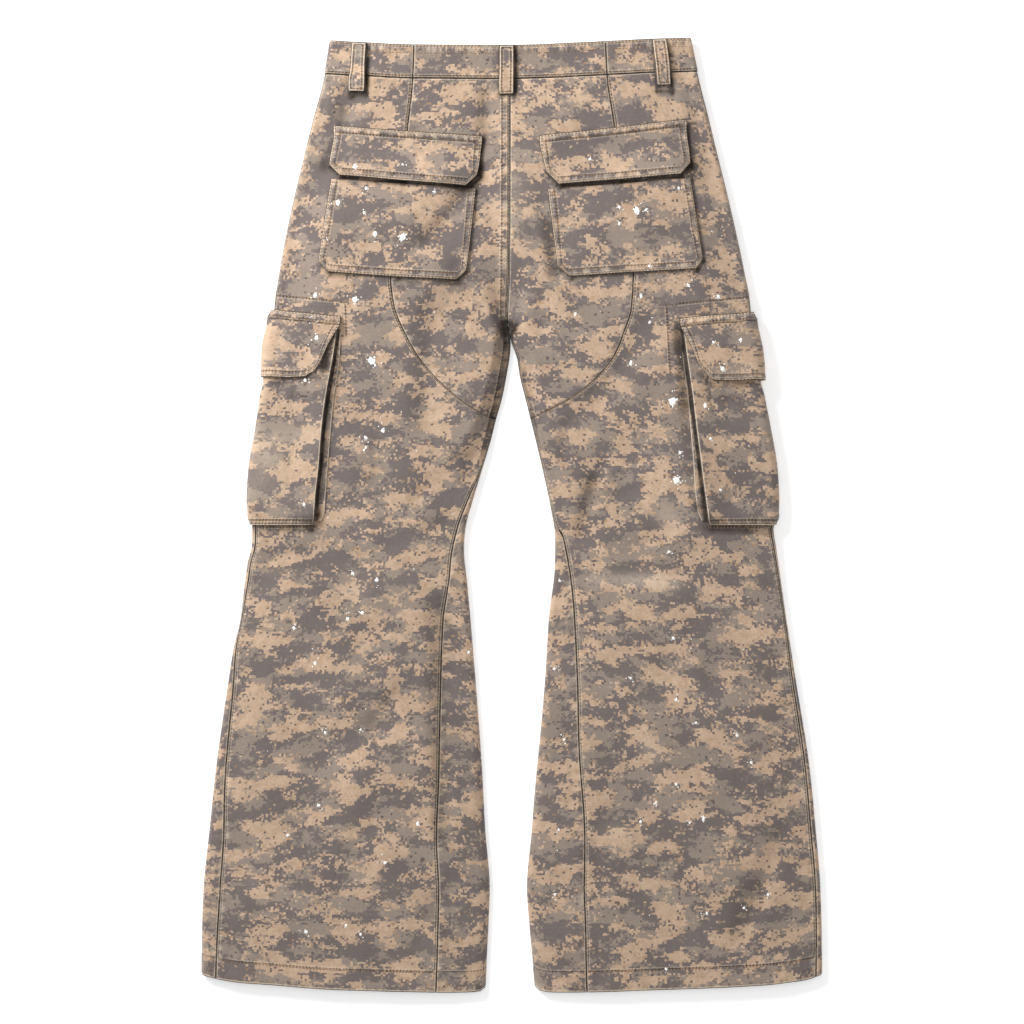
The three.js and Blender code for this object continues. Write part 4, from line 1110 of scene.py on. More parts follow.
def add_cargo_flap(side):
    columns = CARGO_FLAP[side.name]
    top_half = top_u(side, columns["topX"], columns["topY"])
    low_half = top_u(side, columns["lowX"], columns["lowY"])
    top_y, low_y = CARGO_FLAP_EDGE[side.name]
    turn = Section(side, np.array(float(top_y))).quarter_outer
    edge = np.array([turn, turn / 2, 0, -turn / 2, -turn])
    whole = {
        "topX": np.concatenate([top_half, edge, -top_half[::-1]]),
        "lowX": np.concatenate([low_half, edge, -low_half[::-1]]),
        "topY": np.concatenate([columns["topY"], edge * 0 + top_y, columns["topY"][::-1]]),
        "lowY": np.concatenate([columns["lowY"], edge * 0 + low_y, columns["lowY"][::-1]]),
    }
    start = [CORNER_STEPS, 3, 5, 8, 3]
    end = [3, 8, 5, 3, 1 - CORNER_STEPS[::-1]]
    u, y, down, across = patch_grid(whole, start + [2] * 4 + end, PATCH_STEP, CARGO_BAND)
    over = FLAP_CLOTH + LAY_GAP
    tops = np.repeat(y[:1], len(y), axis=0)
    settled = smooth((tops - y) / CARGO_FLAP_SETTLE)
    rear = cargo_half(side, y)
    on_pocket = cargo_out(side, np.clip(u, CARGO_EDGE_TURN - rear, rear), y) + over + 0.6
    from_edge = np.where(u > 0, u / 34, -u / 11)
    flare = CARGO_FLARE[side.name] * smooth((down - 0.35) / 0.5) * smooth(1 - from_edge)
    out = mix(over + 0.3, on_pocket, settled) + flare
    edges = all_edges("fold", 7, "first last low", *FLAP_ROWS)
    edges.append(("top", "fold", CARGO_BAND, FLAP_ROWS[0], CARGO_BAND - 0.9))
    marks = edge_marks(place(side, u, y, out), edges)
    from_band = tops - y - CARGO_BAND
    band = CARGO_BAND_HIGH * smooth(0.5 - from_band / 1.4)
    # Painted shade: a dark line just under the raised band.
    stain = 0.75 * turned(from_band - 0.9, 1, 1.0) * (u > 0)
    rim = 0.35 * smooth((6.8 - marks["fold"]) / 1.2)
    lift = np.maximum(band, rim) * (u > -turn) - turned(marks["fold"], 0.5, 0.8)
    outer = place(side, u, y, out + lift)
    inner = place(side, u, y, out - FLAP_CLOTH)
    uv = np.stack([side.inward * u, y], axis=-1)
    cloth_piece(f"cargo_flap_{side.name}", outer, inner, uv, marks, stain)


def add_loop(node, place_at, arch):
    down = refined(LOOP_TOP_Y - LOOP_LOW_Y, 2.5)[:, None]
    across = (refined(LOOP_WIDTH, 2.2) - 0.5)[None, :] * LOOP_WIDTH
    y = mix(LOOP_TOP_Y, LOOP_LOW_Y, down) + 0 * across
    sewn = LAY_GAP + LOOP_CLOTH + BAND_PROUD + 0.1
    bowed = arch * np.sin(np.pi * np.clip(down, 0, 1)) ** 0.7
    base = place_at(across, down, y, sewn + bowed + 0 * across)
    edges = all_edges("fold", 0, "first last", LOOP_ROW) + all_edges("fold", 5, "low top", 2.4)
    marks = edge_marks(base, edges)
    rows = 0.3 * smooth((4.4 - np.abs(marks["fold"])) / 1.0)
    bar = 0.35 * np.exp(-(((down - 0.93) / 0.035) ** 2))
    outer = place_at(across, down, y, sewn + bowed + rows + bar - turned(marks["fold"], 0.5, 0.7))
    inner = place_at(across, down, y, sewn + bowed - LOOP_CLOTH + 0 * across)
    uv = np.stack([across + 0 * y, y], axis=-1)
    cloth_piece(node, outer, inner, uv, marks)


def add_loops():
    for node, loop in BACK_LOOPS.items():

        def place_at(across, down, y, out, loop=loop):
            x = mix(loop["top"], loop["low"], down) + across
            return on_trunk(x, y + loop["rise"] * down, out)

        add_loop(node, place_at, BACK_ARCH)
    for node, (name, x) in FRONT_LOOPS.items():
        side = LEFT if name == "left" else RIGHT

        def place_at(across, down, y, out, side=side, x=x):
            return place(side, -top_u(side, x + across, y), y, out)

        add_loop(node, place_at, FRONT_ARCH)


def add_fly_placket():
    y = levels_between([FLY_TOP_Y, FLY_LOW_Y], PATCH_STEP)[:, None]
    near_end = np.clip((y - FLY_LOW_Y) / FLY_WIDTH, 0, 1)
    wide = mix(8, FLY_WIDTH, np.sqrt(1 - (1 - near_end) ** 2))
    from_centre = mix(0.5, wide, refined(FLY_WIDTH, PATCH_STEP)[None, :])
    y = y + 0 * from_centre
    u = -(Section(LEFT, y).flat_end - from_centre)
    marks = edge_marks(place(LEFT, u, y, FLY_UNDER), all_edges("fold", 6, "last low", 1.6))
    outer = place(LEFT, u, y, FLY_UNDER - turned(marks["fold"], 0.4, 0.8))
    inner = place(LEFT, u, y, FLY_UNDER - PANEL_CLOTH)
    uv = np.stack([from_centre, y], axis=-1)
    cloth_piece("fly_placket", outer, inner, uv, marks)


class Graph:
    """A short way to write a material's nodes: each call adds one and gives its output."""

    def __init__(self, name):
        self.material = bpy.data.materials.new(name)
        self.material.use_nodes = True
        self.tree = self.material.node_tree
        self.shader = self.tree.nodes["Principled BSDF"]

    def put(self, socket, value):
        if isinstance(value, bpy.types.NodeSocket):
            self.tree.links.new(value, socket)
        else:
            socket.default_value = value

    def node(self, kind, inputs=(), **settings):
        made = self.tree.nodes.new(kind)
        for key, value in settings.items():
            setattr(made, key, value)
        for key, value in dict(inputs).items():
            self.put(made.inputs[key], value)
        return made

    def math(self, operation, *values):
        made = self.node("ShaderNodeMath", operation=operation)
        for socket, value in zip(made.inputs, values):
            self.put(socket, value)
        return made.outputs[0]

    def times(self, product, *others):
        for value in others:
            product = self.math("MULTIPLY", product, value)
        return product

    def vector(self, operation, *values):
        made = self.node("ShaderNodeVectorMath", operation=operation)
        for socket, value in zip(made.inputs, values):
            self.put(socket, value)
        return made.outputs[0]

    def ramp(self, value, low, high, to_low=0.0, to_high=1.0):
        names = {"Value": value, "From Min": low, "From Max": high, "To Min": to_low, "To Max": to_high}
        made = self.node("ShaderNodeMapRange", names, interpolation_type="SMOOTHSTEP")
        return made.outputs[0]

    def blend(self, share, first, second, mode="MIX"):
        made = self.node("ShaderNodeMix", data_type="RGBA", blend_type=mode)
        self.put(made.inputs[0], share)
        self.put(made.inputs[6], first)
        self.put(made.inputs[7], second)
        return made.outputs[2]

    def noise(self, vector, scale, detail=2.0, rough=0.5):
        names = {"Vector": vector, "Scale": scale, "Detail": detail, "Roughness": rough}
        return self.node("ShaderNodeTexNoise", names).outputs["Fac"]

    def white(self, vector):
        made = self.node("ShaderNodeTexWhiteNoise", {"Vector": vector}, noise_dimensions="3D")
        return made.outputs["Value"]

    def attribute(self, name):
        return self.node("ShaderNodeAttribute", attribute_name=name).outputs["Fac"]

    def bump(self, strength, distance, height):
        names = {"Strength": strength, "Distance": distance, "Height": height}
        return self.node("ShaderNodeBump", names).outputs[0]

    def surface(self, inputs):
        """Sets the shader's inputs by name and gives the material."""
        for key, value in inputs.items():
            self.put(self.shader.inputs[key], value)
        return self.material


def color(red, green, blue):
    """A linear colour from 0 to 255 display values."""
    def linear(value):
        v = value / 255
        return v / 12.92 if v <= 0.04045 else ((v + 0.055) / 1.055) ** 2.4
    return (linear(red), linear(green), linear(blue), 1.0)


DARK = color(111, 101, 98)
MIDDLE = color(143, 129, 118)
TAN = color(192, 165, 141)
TAN_LOW = color(176, 150, 126)
DOT = color(90, 81, 78)
RUST = color(172, 135, 100)
CREAM = color(222, 203, 180)
SEAM_AND_EDGE_SHADE = color(40, 33, 29)
GRIME_AND_SHADE = color(40, 31, 24)
CELL = (0.0024, 0.0022, 1.0)
RIPSTOP = 0.0055


def camouflage(g, uv):
    """A print of stepped patches in three tones, with specks, in cells of a couple of millimetres."""
    wobble = g.node("ShaderNodeTexNoise", {"Vector": uv, "Scale": 230.0, "Detail": 1.0}).outputs["Color"]
    moved = g.vector("MULTIPLY", g.vector("SUBTRACT", wobble, (0.5, 0.5, 0.5)), (0.0034, 0.0034, 0.0))
    cells = g.vector("FLOOR", g.vector("DIVIDE", g.vector("ADD", uv, moved), CELL))
    snapped = g.vector("MULTIPLY", cells, CELL)
    stretched = g.vector("MULTIPLY", snapped, (0.56, 1.0, 1.0))
    jitter = g.times(g.math("SUBTRACT", g.white(cells), 0.5), 0.076)
    speck = g.white(g.vector("ADD", cells, (17.0, 5.0, 3.0)))
    middle_field = g.math("ADD", g.noise(stretched, 40.0, 5.0, 0.6), jitter)
    shifted = g.vector("ADD", stretched, (3.1, 7.7, 0.0))
    tan_field = g.math("ADD", g.noise(shifted, 44.0, 5.0, 0.6), jitter)
    is_middle = g.ramp(middle_field, 0.488, 0.532)
    is_tan = g.ramp(tan_field, 0.514, 0.548)
    near_tan = g.ramp(tan_field, 0.43, 0.50)
    deep_tan = g.ramp(tan_field, 0.545, 0.575)
    uneven = g.ramp(g.noise(uv, 95.0, 3.0, 0.6), 0.3, 0.7)
    paint = g.blend(is_middle, DARK, MIDDLE)
    paint = g.blend(is_tan, paint, g.blend(uneven, TAN_LOW, TAN))
    rim = g.times(is_tan, g.math("SUBTRACT", 1.0, deep_tan))
    hole = g.times(g.math("GREATER_THAN", speck, 0.93), rim)
    lone = g.times(g.math("GREATER_THAN", speck, 0.978), is_tan)
    dot = g.times(g.math("GREATER_THAN", speck, 0.972), is_middle)
    square = g.times(g.math("LESS_THAN", speck, 0.055), near_tan)
    spot = g.times(g.math("GREATER_THAN", g.math("PINGPONG", speck, 0.5), 0.484), near_tan)
    paint = g.blend(g.times(g.math("MAXIMUM", g.math("MAXIMUM", hole, lone), dot), 0.85), paint, DOT)
    paint = g.blend(g.times(square, 0.9), paint, TAN)
    return g.blend(g.times(spot, 0.55), paint, RUST)


def cloth_material():
    g = Graph("camouflage_cloth")
    uv = g.node("ShaderNodeUVMap", uv_map="cloth").outputs[0]
    paint = camouflage(g, uv)

    # Washing and handling: slow changes of tone, a faint raised grid, and uneven threads both ways.
    wash = g.ramp(g.noise(uv, 13.0, 4.0, 0.65), 0.3, 0.7, 0.92, 1.07)
    weft, warp = (
        g.ramp(g.noise(g.vector("MULTIPLY", uv, scale), 1.0, 2.0, 0.6), 0.3, 0.7, *tones)
        for scale, tones in (((210.0, 900.0, 1.0), (0.93, 1.06)), ((1000.0, 260.0, 1.0), (0.95, 1.05)))
    )
    scaled = g.vector("MODULO", uv, (RIPSTOP, RIPSTOP, 1.0))
    parts = g.node("ShaderNodeSeparateXYZ", {"Vector": scaled})
    ribs = [
        g.ramp(g.math("ABSOLUTE", g.math("SUBTRACT", part, RIPSTOP / 2)), 0.0, 0.0006, 1.0, 0.0)
        for part in (parts.outputs[0], parts.outputs[1])
    ]
    rib = g.math("MAXIMUM", *ribs)
    tone = g.times(wash, weft, warp, g.ramp(rib, 0.0, 1.0, 0.99, 1.045))
    tones = g.node("ShaderNodeCombineXYZ", {"X": tone, "Y": tone, "Z": tone}).outputs[0]
    paint = g.blend(1.0, paint, tones, "MULTIPLY")

    # Rubbed and dark blocks across the sewn strips, where the layers under the stitching differ.
    fold = g.attribute("fold")
    seam = g.attribute("seam")
    strip = g.attribute("strip")
    along_mm = g.attribute("along")
    along = g.times(along_mm, 0.001)
    bar_at = g.node("ShaderNodeCombineXYZ", {"X": along, "Y": 0.0, "Z": 0.0}).outputs[0]
    lengthwise = g.vector("ADD", bar_at, g.vector("MULTIPLY", uv, (0.16, 0.16, 0.0)))
    bars = g.noise(lengthwise, 125.0, 3.0, 0.6)
    lit = g.times(g.ramp(bars, 0.52, 0.62, 0.0, 0.32), strip)
    dim = g.times(g.ramp(bars, 0.38, 0.52, 0.6, 0.0), strip)
    paint = g.blend(lit, paint, CREAM)
    paint = g.blend(dim, paint, DOT)

    # Rows of stitching sink into holes, painted dark as shade, deeper where the thread goes in.
    fray = g.ramp(g.noise(uv, 300.0, 2.0, 0.6), 0.32, 0.60, 0.55, 1.0)
    signed = [g.attribute(key) for key in ROW_KEYS]
    nearest_row = FAR
    ridge = 0.0
    for value in signed:
        nearest_row = g.math("MINIMUM", g.math("ABSOLUTE", value), nearest_row)
        inside = g.times(g.ramp(value, 0.8, 1.4), g.ramp(value, 1.6, 2.8, 1.0, 0.0))
        ridge = g.math("MAXIMUM", inside, ridge)
    row = g.ramp(nearest_row, 0.4, 1.2, 1.0, 0.0)
    between = g.math("PINGPONG", along_mm, STITCH_PITCH / 2)
    stitch = g.ramp(between, 0.0, 1.2, 1.0, 0.45)
    pulled = g.ramp(g.noise(lengthwise, 60.0, 2.0, 0.6), 0.3, 0.65, 0.5, 1.0)
    tick = g.times(g.ramp(between, 0.2, 0.8, 0.8, 0.0), g.ramp(nearest_row, 0.8, 2.4, 1.0, 0.0))
    holes = g.times(g.math("MAXIMUM", g.times(row, stitch), tick), pulled)
    paint = g.blend(g.times(ridge, fray, 0.34), paint, CREAM)
    paint = g.blend(g.times(holes, 0.95), paint, SEAM_AND_EDGE_SHADE)

    # A painted shade outline round folded edges, frayed cream inside it, and seams painted dark as the
    # shade in their grooves, with a rubbed line.
    worn = g.times(g.ramp(fold, 0.7, 1.1), g.ramp(fold, 1.6, 2.6, 0.8, 0.0))
    paint = g.blend(g.times(worn, fray), paint, CREAM)
    paint = g.blend(g.times(g.ramp(seam, 1.1, 2.3, 0.5, 0.0), fray), paint, CREAM)
    paint = g.blend(g.ramp(fold, 0.4, 1.05, 0.85, 0.0), paint, SEAM_AND_EDGE_SHADE)
    broken = g.ramp(g.noise(lengthwise, 90.0, 3.0, 0.6), 0.3, 0.55, 0.6, 1.0)
    paint = g.blend(g.times(g.ramp(seam, 0.45, 1.1, 0.95, 0.0), broken), paint, SEAM_AND_EDGE_SHADE)

    # Fading and grime, with painted shade in creases, hollows and under the patches, and painted highlights
    # on ridges.
    stain = g.attribute("stain")
    patchy = g.ramp(g.noise(uv, 75.0, 3.0, 0.6), 0.25, 0.75, 0.8, 1.15)
    paint = g.blend(g.times(g.ramp(stain, 0.0, -1.0, 0.0, 0.62), fray), paint, CREAM)
    paint = g.blend(g.times(g.ramp(stain, 0.0, 1.0, 0.0, 0.94), patchy), paint, GRIME_AND_SHADE)

    # Relief: pucker beside the stitching, the rows themselves, ribs and the weave.
    nearest = g.math("MINIMUM", fold, seam)
    pucker = g.times(g.noise(lengthwise, 150.0, 1.0, 0.5), g.ramp(nearest, 5.0, 15.0, 1.0, 0.0))
    crinkle = g.times(g.noise(uv, 55.0, 4.0, 0.62), 0.6)
    weave = g.times(g.noise(uv, 1400.0, 1.0, 0.5), 0.10)
    relief = g.math("ADD", g.math("ADD", pucker, crinkle), g.times(rib, 0.05))
    relief = g.math("SUBTRACT", g.math("ADD", relief, weave), g.times(row, 0.3))
    return g.surface({
        "Base Color": paint, "Normal": g.bump(0.7, 0.0015, relief), "Roughness": 0.92,
        "Sheen Weight": 0.2, "Sheen Roughness": 0.5, "Specular IOR Level": 0.2,
    })


def plain_material(name, tones, grain, span, roughness, relief=None, glow=0.0):
    """A plain material between two tones. grain is the noise's scale, detail and roughness, and relief
    is a bump's strength, its depth and its own scale, or none where it follows the tones."""
    g = Graph(name)
    place_on = g.node("ShaderNodeTexCoord").outputs["Object"]
    tone = g.ramp(g.noise(place_on, *grain), *span)
    inputs = {"Base Color": g.blend(tone, *(color(*each) for each in tones)), "Roughness": roughness}
    if relief:
        strength, depth, scale = relief
        height = g.noise(place_on, scale, 1.0, 0.5) if scale else tone
        inputs["Normal"] = g.bump(strength, depth, height)
    if glow:
        inputs["Emission Color"] = (1.0, 1.0, 1.0, 1.0)
        inputs["Emission Strength"] = glow
    return g.surface(inputs)


FLOOR_GLOW = 0.32


def plain_materials():
    """Thread, dried paint, the button's plastic and the floor, by the name of their slot here."""
    return {
        "thread": plain_material(
            "thread", ((112, 82, 58), (160, 124, 90)), (90.0, 2.0, 0.6), (0.35, 0.65), 0.7,
            relief=(0.4, 0.0002, 2600.0),
        ),
        "fleck": plain_material(
            "dried_paint", ((240, 238, 232), (252, 252, 250)), (500.0, 2.0, 0.6), (0.3, 0.7), 0.5,
            relief=(0.3, 0.0003, None),
        ),
        "button": plain_material(
            "button_plastic", ((104, 94, 84), (122, 111, 98)), (220.0, 3.0, 0.6), (0.3, 0.7), 0.42,
        ),
        "floor": plain_material(
            "floor_paint", ((247, 247, 247), (250, 250, 250)), (3.0, 2.0, 0.5), (0.3, 0.7), 0.9,
            glow=FLOOR_GLOW,
        ),
    }


STITCH_LONG = 2.7
STITCH_WIDE = 1.0
STITCH_HIGH = 0.5
STITCH_SINK = 0.15


def points_at(line, lengths, at):
    return np.stack([np.interp(at, lengths, column) for column in line.T], axis=1)


def resampled(line, step):
    """Points at about a step apart along a line."""
    lengths = gaps_along(line, 0)
    count = max(2, int(round(lengths[-1] / step)) + 1)
    return points_at(line, lengths, np.linspace(0, lengths[-1], count))


def corner_points(line, tolerance=0.35):
    """The few points that carry a line's shape."""
    if len(line) < 3:
        return line
    start, end = line[0], line[-1]
    way = (end - start) / max(np.linalg.norm(end - start), 1e-9)
    away = np.abs((line[:, 0] - start[0]) * way[1] - (line[:, 1] - start[1]) * way[0])
    k = int(np.argmax(away))
    if away[k] < tolerance:
        return np.array([start, end])
    first = corner_points(line[: k + 1], tolerance)
    return np.concatenate([first[:-1], corner_points(line[k:], tolerance)])


def inset_line(line, distance, middle):
    """A flat line moved towards a middle point by a distance, with mitred corners."""
    line = corner_points(np.asarray(line)[:, :2])
    way = np.diff(line, axis=0)
    way /= np.linalg.norm(way, axis=1, keepdims=True)
    normal = np.stack([-way[:, 1], way[:, 0]], axis=1)
    lengths = np.linalg.norm(np.diff(line, axis=0), axis=1)
    centres = (line[1:] + line[:-1]) / 2
    if (((middle - centres) * normal).sum(axis=1) * lengths).sum() < 0:
        normal = -normal
    before = np.concatenate([normal[:1], normal])
    after = np.concatenate([normal, normal[-1:]])
    spread_by = 1 + (before * after).sum(axis=1, keepdims=True)
    return line + (before + after) / spread_by * distance


def trimmed(line, start, end):
    """A flat line, shortened at both ends."""
    dense = resampled(line, 0.5)
    keep = slice(int(start / 0.5), len(dense) - int(end / 0.5))
    return dense[keep]


def dropped(tree, flat, up=True):
    """Runs of a flat line laid on a piece, from above or from below."""
    runs, run = [], []
    sign = 1 if up else -1
    for x, y in flat:
        hit, normal, _, _ = tree.ray_cast(Vector((x * MM, y * MM, sign)), Vector((0, 0, -sign)))
        if hit is not None and abs(normal.z) > 0.35:
            run.append((x, y, hit.z / MM))
            continue
        if len(run) > 3:
            runs.append(np.array(run))
        run = []
    if len(run) > 3:
        runs.append(np.array(run))
    return runs


class Sewing:
    """Rows of thread laid on the pieces, kept until they are made as one mesh."""

    def __init__(self):
        self.middles = []
        self.ways = []
        self.ups = []

    def run(self, line, up=True):
        lengths = gaps_along(line, 0)
        count = max(1, int(lengths[-1] / STITCH_PITCH))
        at = (np.arange(count) + 0.5) * lengths[-1] / count
        way = points_at(line, lengths, at + 1) - points_at(line, lengths, at - 1)
        self.middles.append(points_at(line, lengths, at))
        self.ways.append(way / np.maximum(np.linalg.norm(way, axis=1, keepdims=True), 1e-9))
        self.ups.append(np.full(count, 1.0 if up else -1.0))

    def on(self, node, flat, up=True):
        for run in dropped(TREES[node], resampled(np.asarray(flat, float)[:, :2], 1.2), up):
            self.run(run, up)

    def make(self, name):
        middle, way = np.concatenate(self.middles), np.concatenate(self.ways)
        up = np.zeros(way.shape)
        up[:, 2] = np.concatenate(self.ups)
        across = np.cross(up, way)
        across /= np.maximum(np.linalg.norm(across, axis=1, keepdims=True), 1e-9)
        rise = np.cross(way, across)
        draws = np.random.default_rng(11)
        way = way + across * draws.normal(0, 0.08, len(middle))[:, None]
        points = []
        for share, size in ((-0.5, 0.4), (0.0, 1.0), (0.5, 0.4)):
            centre = middle + way * (share * STITCH_LONG)
            for side_share, high_share in ((-0.5, 0.0), (-0.3, 0.85), (0.3, 0.85), (0.5, 0.0)):
                lift = rise * (high_share * STITCH_HIGH * size - STITCH_SINK)
                points.append(centre + across * (side_share * STITCH_WIDE * size) + lift)
        points = np.stack(points, axis=1)
        ring = []
        for k in range(2):
            for j in range(4):
                a, b = 4 * k + j, 4 * k + (j + 1) % 4
                ring.append((a, b, b + 4, a + 4))
        ring += [(3, 2, 1, 0), (8, 9, 10, 11)]
        faces = np.array(ring)[None] + 12 * np.arange(len(points))[:, None, None]
        new_piece(name, points.reshape(-1, 3), faces.reshape(-1, 4).tolist(), "thread")


def outline(node, edges):
    """A piece's rim along named edges, in order round it."""
    grid = GRIDS[node]
    rims = {"first": grid[:, 0], "low": grid[-1], "last": grid[::-1, -1], "top": grid[0, ::-1]}
    return np.concatenate([rims[name] for name in edges])


def sew_rim(sewing, node, edges, insets, start=1.0, end=1.0, up=True):
    line = outline(node, edges)
    middle = GRIDS[node].reshape(-1, 3).mean(axis=0)[:2]
    for distance in insets:
        sewing.on(node, trimmed(inset_line(line, distance, middle), start, end), up)


def sew_cargo(sewing, side):
    """The cargo flap, pocket and gusset: on top as far as the outer edge, and again underneath."""
    for node, edges, insets in (
        (f"cargo_flap_{side.name}", ["top"], (FLAP_ROWS[0], CARGO_BAND - 0.9)),
        (f"cargo_flap_{side.name}", ["first", "low", "last"], FLAP_ROWS),
        (f"cargo_pocket_{side.name}", ["low", "last"], CARGO_ROWS),
    ):
        line = outline(node, edges)
        at = int(np.argmin(line[:, 0] * side.inward))
        halves = (line[: at - 1], line[at + 2 :])
        if edges == ["top"]:
            halves = halves[::-1]
        for half, up in zip(halves, (True, False)):
            inner = half[:, :2].mean(axis=0) + np.array([side.inward * 20, 10.0])
            if edges == ["top"]:
                inner = half[:, :2].mean(axis=0) - np.array([0, 30.0])
            for distance in insets:
                flat = trimmed(inset_line(half, distance, inner), 1.0, 2.0)
                sewing.on(node, flat, up)


def seam_row(sewing, side, u_of, low, high, out=0.0, up=True):
    """A row of thread along a panel, at u for each level."""
    y = np.arange(low, high, 2.0)
    u = np.array([u_of(level) for level in y])
    sewing.run(place(side, u, y, out)[::-1], up)


# Levels of the waistband's rows of stitching.
BAND_LINES = (516.6, 508.4, 483.0)


def sew():
    sewing = Sewing()
    for side in SIDES:
        name = side.name
        sew_rim(sewing, f"back_pocket_{name}", ["first", "low", "last"], PATCH_ROWS)
        sew_rim(sewing, f"back_flap_{name}", ["first", "low", "last"], PATCH_ROWS, start=9, end=9)
        sew_rim(sewing, f"back_flap_{name}", ["top"], (PATCH_ROWS[0], FLAP_BAND - 0.9))
        sew_cargo(sewing, side)
        for row in FREE_ROWS[f"back_leg_{name}"]:
            sewing.on(f"back_leg_{name}", np.array(row, float))
        sewing.on(f"cargo_flap_{name}", np.array(BAR_TACKS[name], float))
        for low, high in ((420, 478), (112, 256)):
            seam_row(sewing, side, lambda y: seam_u(side, y) - SEAM_ROW - SEAM_GAP / 2, low, high)
        for up in (True, False):
            hem = HEM_Y + HEM_TURN - 1
            first, last = side.outseam(hem) + 2, back_end(side, hem) - 2
            if not up:
                first, last = -6.0, -float(Section(side, np.array(float(hem))).half) + 4
            u = np.linspace(float(first), float(last), 160)
            sewing.run(place(side, u, np.full(160, float(hem)), 0.4), up)
        for level, up in [(level, True) for level in BAND_LINES] + [(BAND_LINES[k], False) for k in (0, 2)]:
            start = float(top_u(side, side.curved_seam(level), level)) - 2
            if not up:
                start = -float(Section(side, np.array(level)).flat_end) + 3
            turn = 9.0 if up else -9.0
            u = np.linspace(start, turn, 200)
            sewing.run(place(side, u, np.full(200, level), BAND_PROUD + 0.05), up)
    for level in BAND_LINES:
        x = np.linspace(float(LEFT.curved_seam(level)) + 2, float(RIGHT.curved_seam(level)) - 2, 240)
        sewing.run(on_trunk(x, np.full(240, level), BAND_PROUD + 0.05))
    for inset in LAP_ROWS:
        seam_row(sewing, LEFT, lambda y: back_end(LEFT, y) - inset, 218, 479, LAP_RAISE)
    for node in list(BACK_LOOPS) + list(FRONT_LOOPS):
        up = node in BACK_LOOPS
        for edges in (["first"], ["last"], ["low"]):
            insets = (LOOP_ROW,) if edges != ["low"] else (2.0, 3.0)
            sew_rim(sewing, node, edges, insets, start=2.0, end=2.0, up=up)
    sew_rim(sewing, "fly_placket", ["low", "last"], (1.6,), up=False)
    sewing.make("stitching")


# Larger flecks of dried paint on the back: place, radius, and how much longer than wide.
FLECKS = table("x y r long", [
    (-119, 303, 4.2, 1.2), (-153, 168, 4.6, 1.1), (181, 37, 4.4, 1.1), (176.5, 124, 4.2, 1.3),
    (137, 333, 3.6, 1.2), (-172, 235, 3.4, 1.2), (-141, 92, 2.6, 1.2), (-171, 381, 2.6, 1.6),
    (-159, 357, 2, 1.2), (-190, 341, 2.4, 1.8), (-161, 330, 1.8, 1.2), (-149, 307, 2.6, 2),
    (-208, 302, 2.2, 1.4), (-215, 240, 2.6, 1.6), (-218, 214, 2.2, 1.4), (-213, 193, 2.2, 2),
    (-119, 383, 1.6, 1), (-84, 353, 1.6, 1.2), (-160, 84, 2.2, 1.2), (-160, 73, 1.6, 1),
    (-226, 147, 2, 1.2), (-227, 11, 1.8, 1.3), (-148, -72, 2.4, 1.2), (-174, -65, 2.2, 1.1),
    (-164, -108, 2.2, 1.2), (-180, -115, 2.2, 1), (-239, -125, 2, 1.2), (-216, -164, 2, 1.3),
    (-205, -240, 1.8, 1.2), (-166, -237, 1.6, 1.2), (-47, -152, 1.8, 1.4), (-212, -320, 2, 1.2),
    (-103, -340, 1.8, 2.2), (-246, -353, 1.8, 1.2), (-139, -383, 1.8, 1.2), (-226, -459, 2.2, 1.2),
    (-182, -452, 2, 1.2), (-166, -462, 1.8, 1.2), (86, 389, 1.8, 1.2), (118, 336, 1.8, 1.2),
    (147, 333, 1.8, 1.2), (118, 318, 1.6, 1.2), (183, 357, 1.8, 1.2), (151, 272, 1.8, 1.2),
    (142, 239, 1.8, 2.6), (194, 251, 2, 1.2), (227, 239, 2.2, 1.6), (70, 219, 1.5, 2.4),
    (152, 211, 1.8, 1.2), (131, 166, 2, 2.6), (212, 119, 2.6, 1.3), (231, 159, 2.8, 1.3),
    (251, 191, 2.2, 1.3), (221, 188, 1.6, 1.2), (185, 68, 2, 1.2), (218, 83, 1.8, 1.2),
    (229, 27, 1.6, 1.2), (173, -41, 1.8, 1.2), (178, -136, 2, 1.2), (181, -204, 1.8, 1.2),
    (131, -180, 1.6, 1.2), (53, -73, 1.6, 1.2), (47, -170, 1.8, 1.2), (58, -248, 1.8, 1.2),
    (248, -243, 1.8, 1.2), (203, -229, 1.6, 1.2), (264, -273, 1.8, 1.2), (159, -317, 1.6, 1.2),
    (181, -297, 1.6, 1.2), (142, -338, 1.8, 1.2), (196, -339, 1.6, 1.2), (211, -335, 1.8, 3),
    (52, -347, 1.6, 1.2), (48, -418, 1.8, 1.2), (256, -433, 1.8, 1.2), (282, -418, 1.6, 1.2),
    (215, -439, 1.8, 1.2), (170, -500, 1.8, 1.2),
])
FLECK_HIGH = 0.42


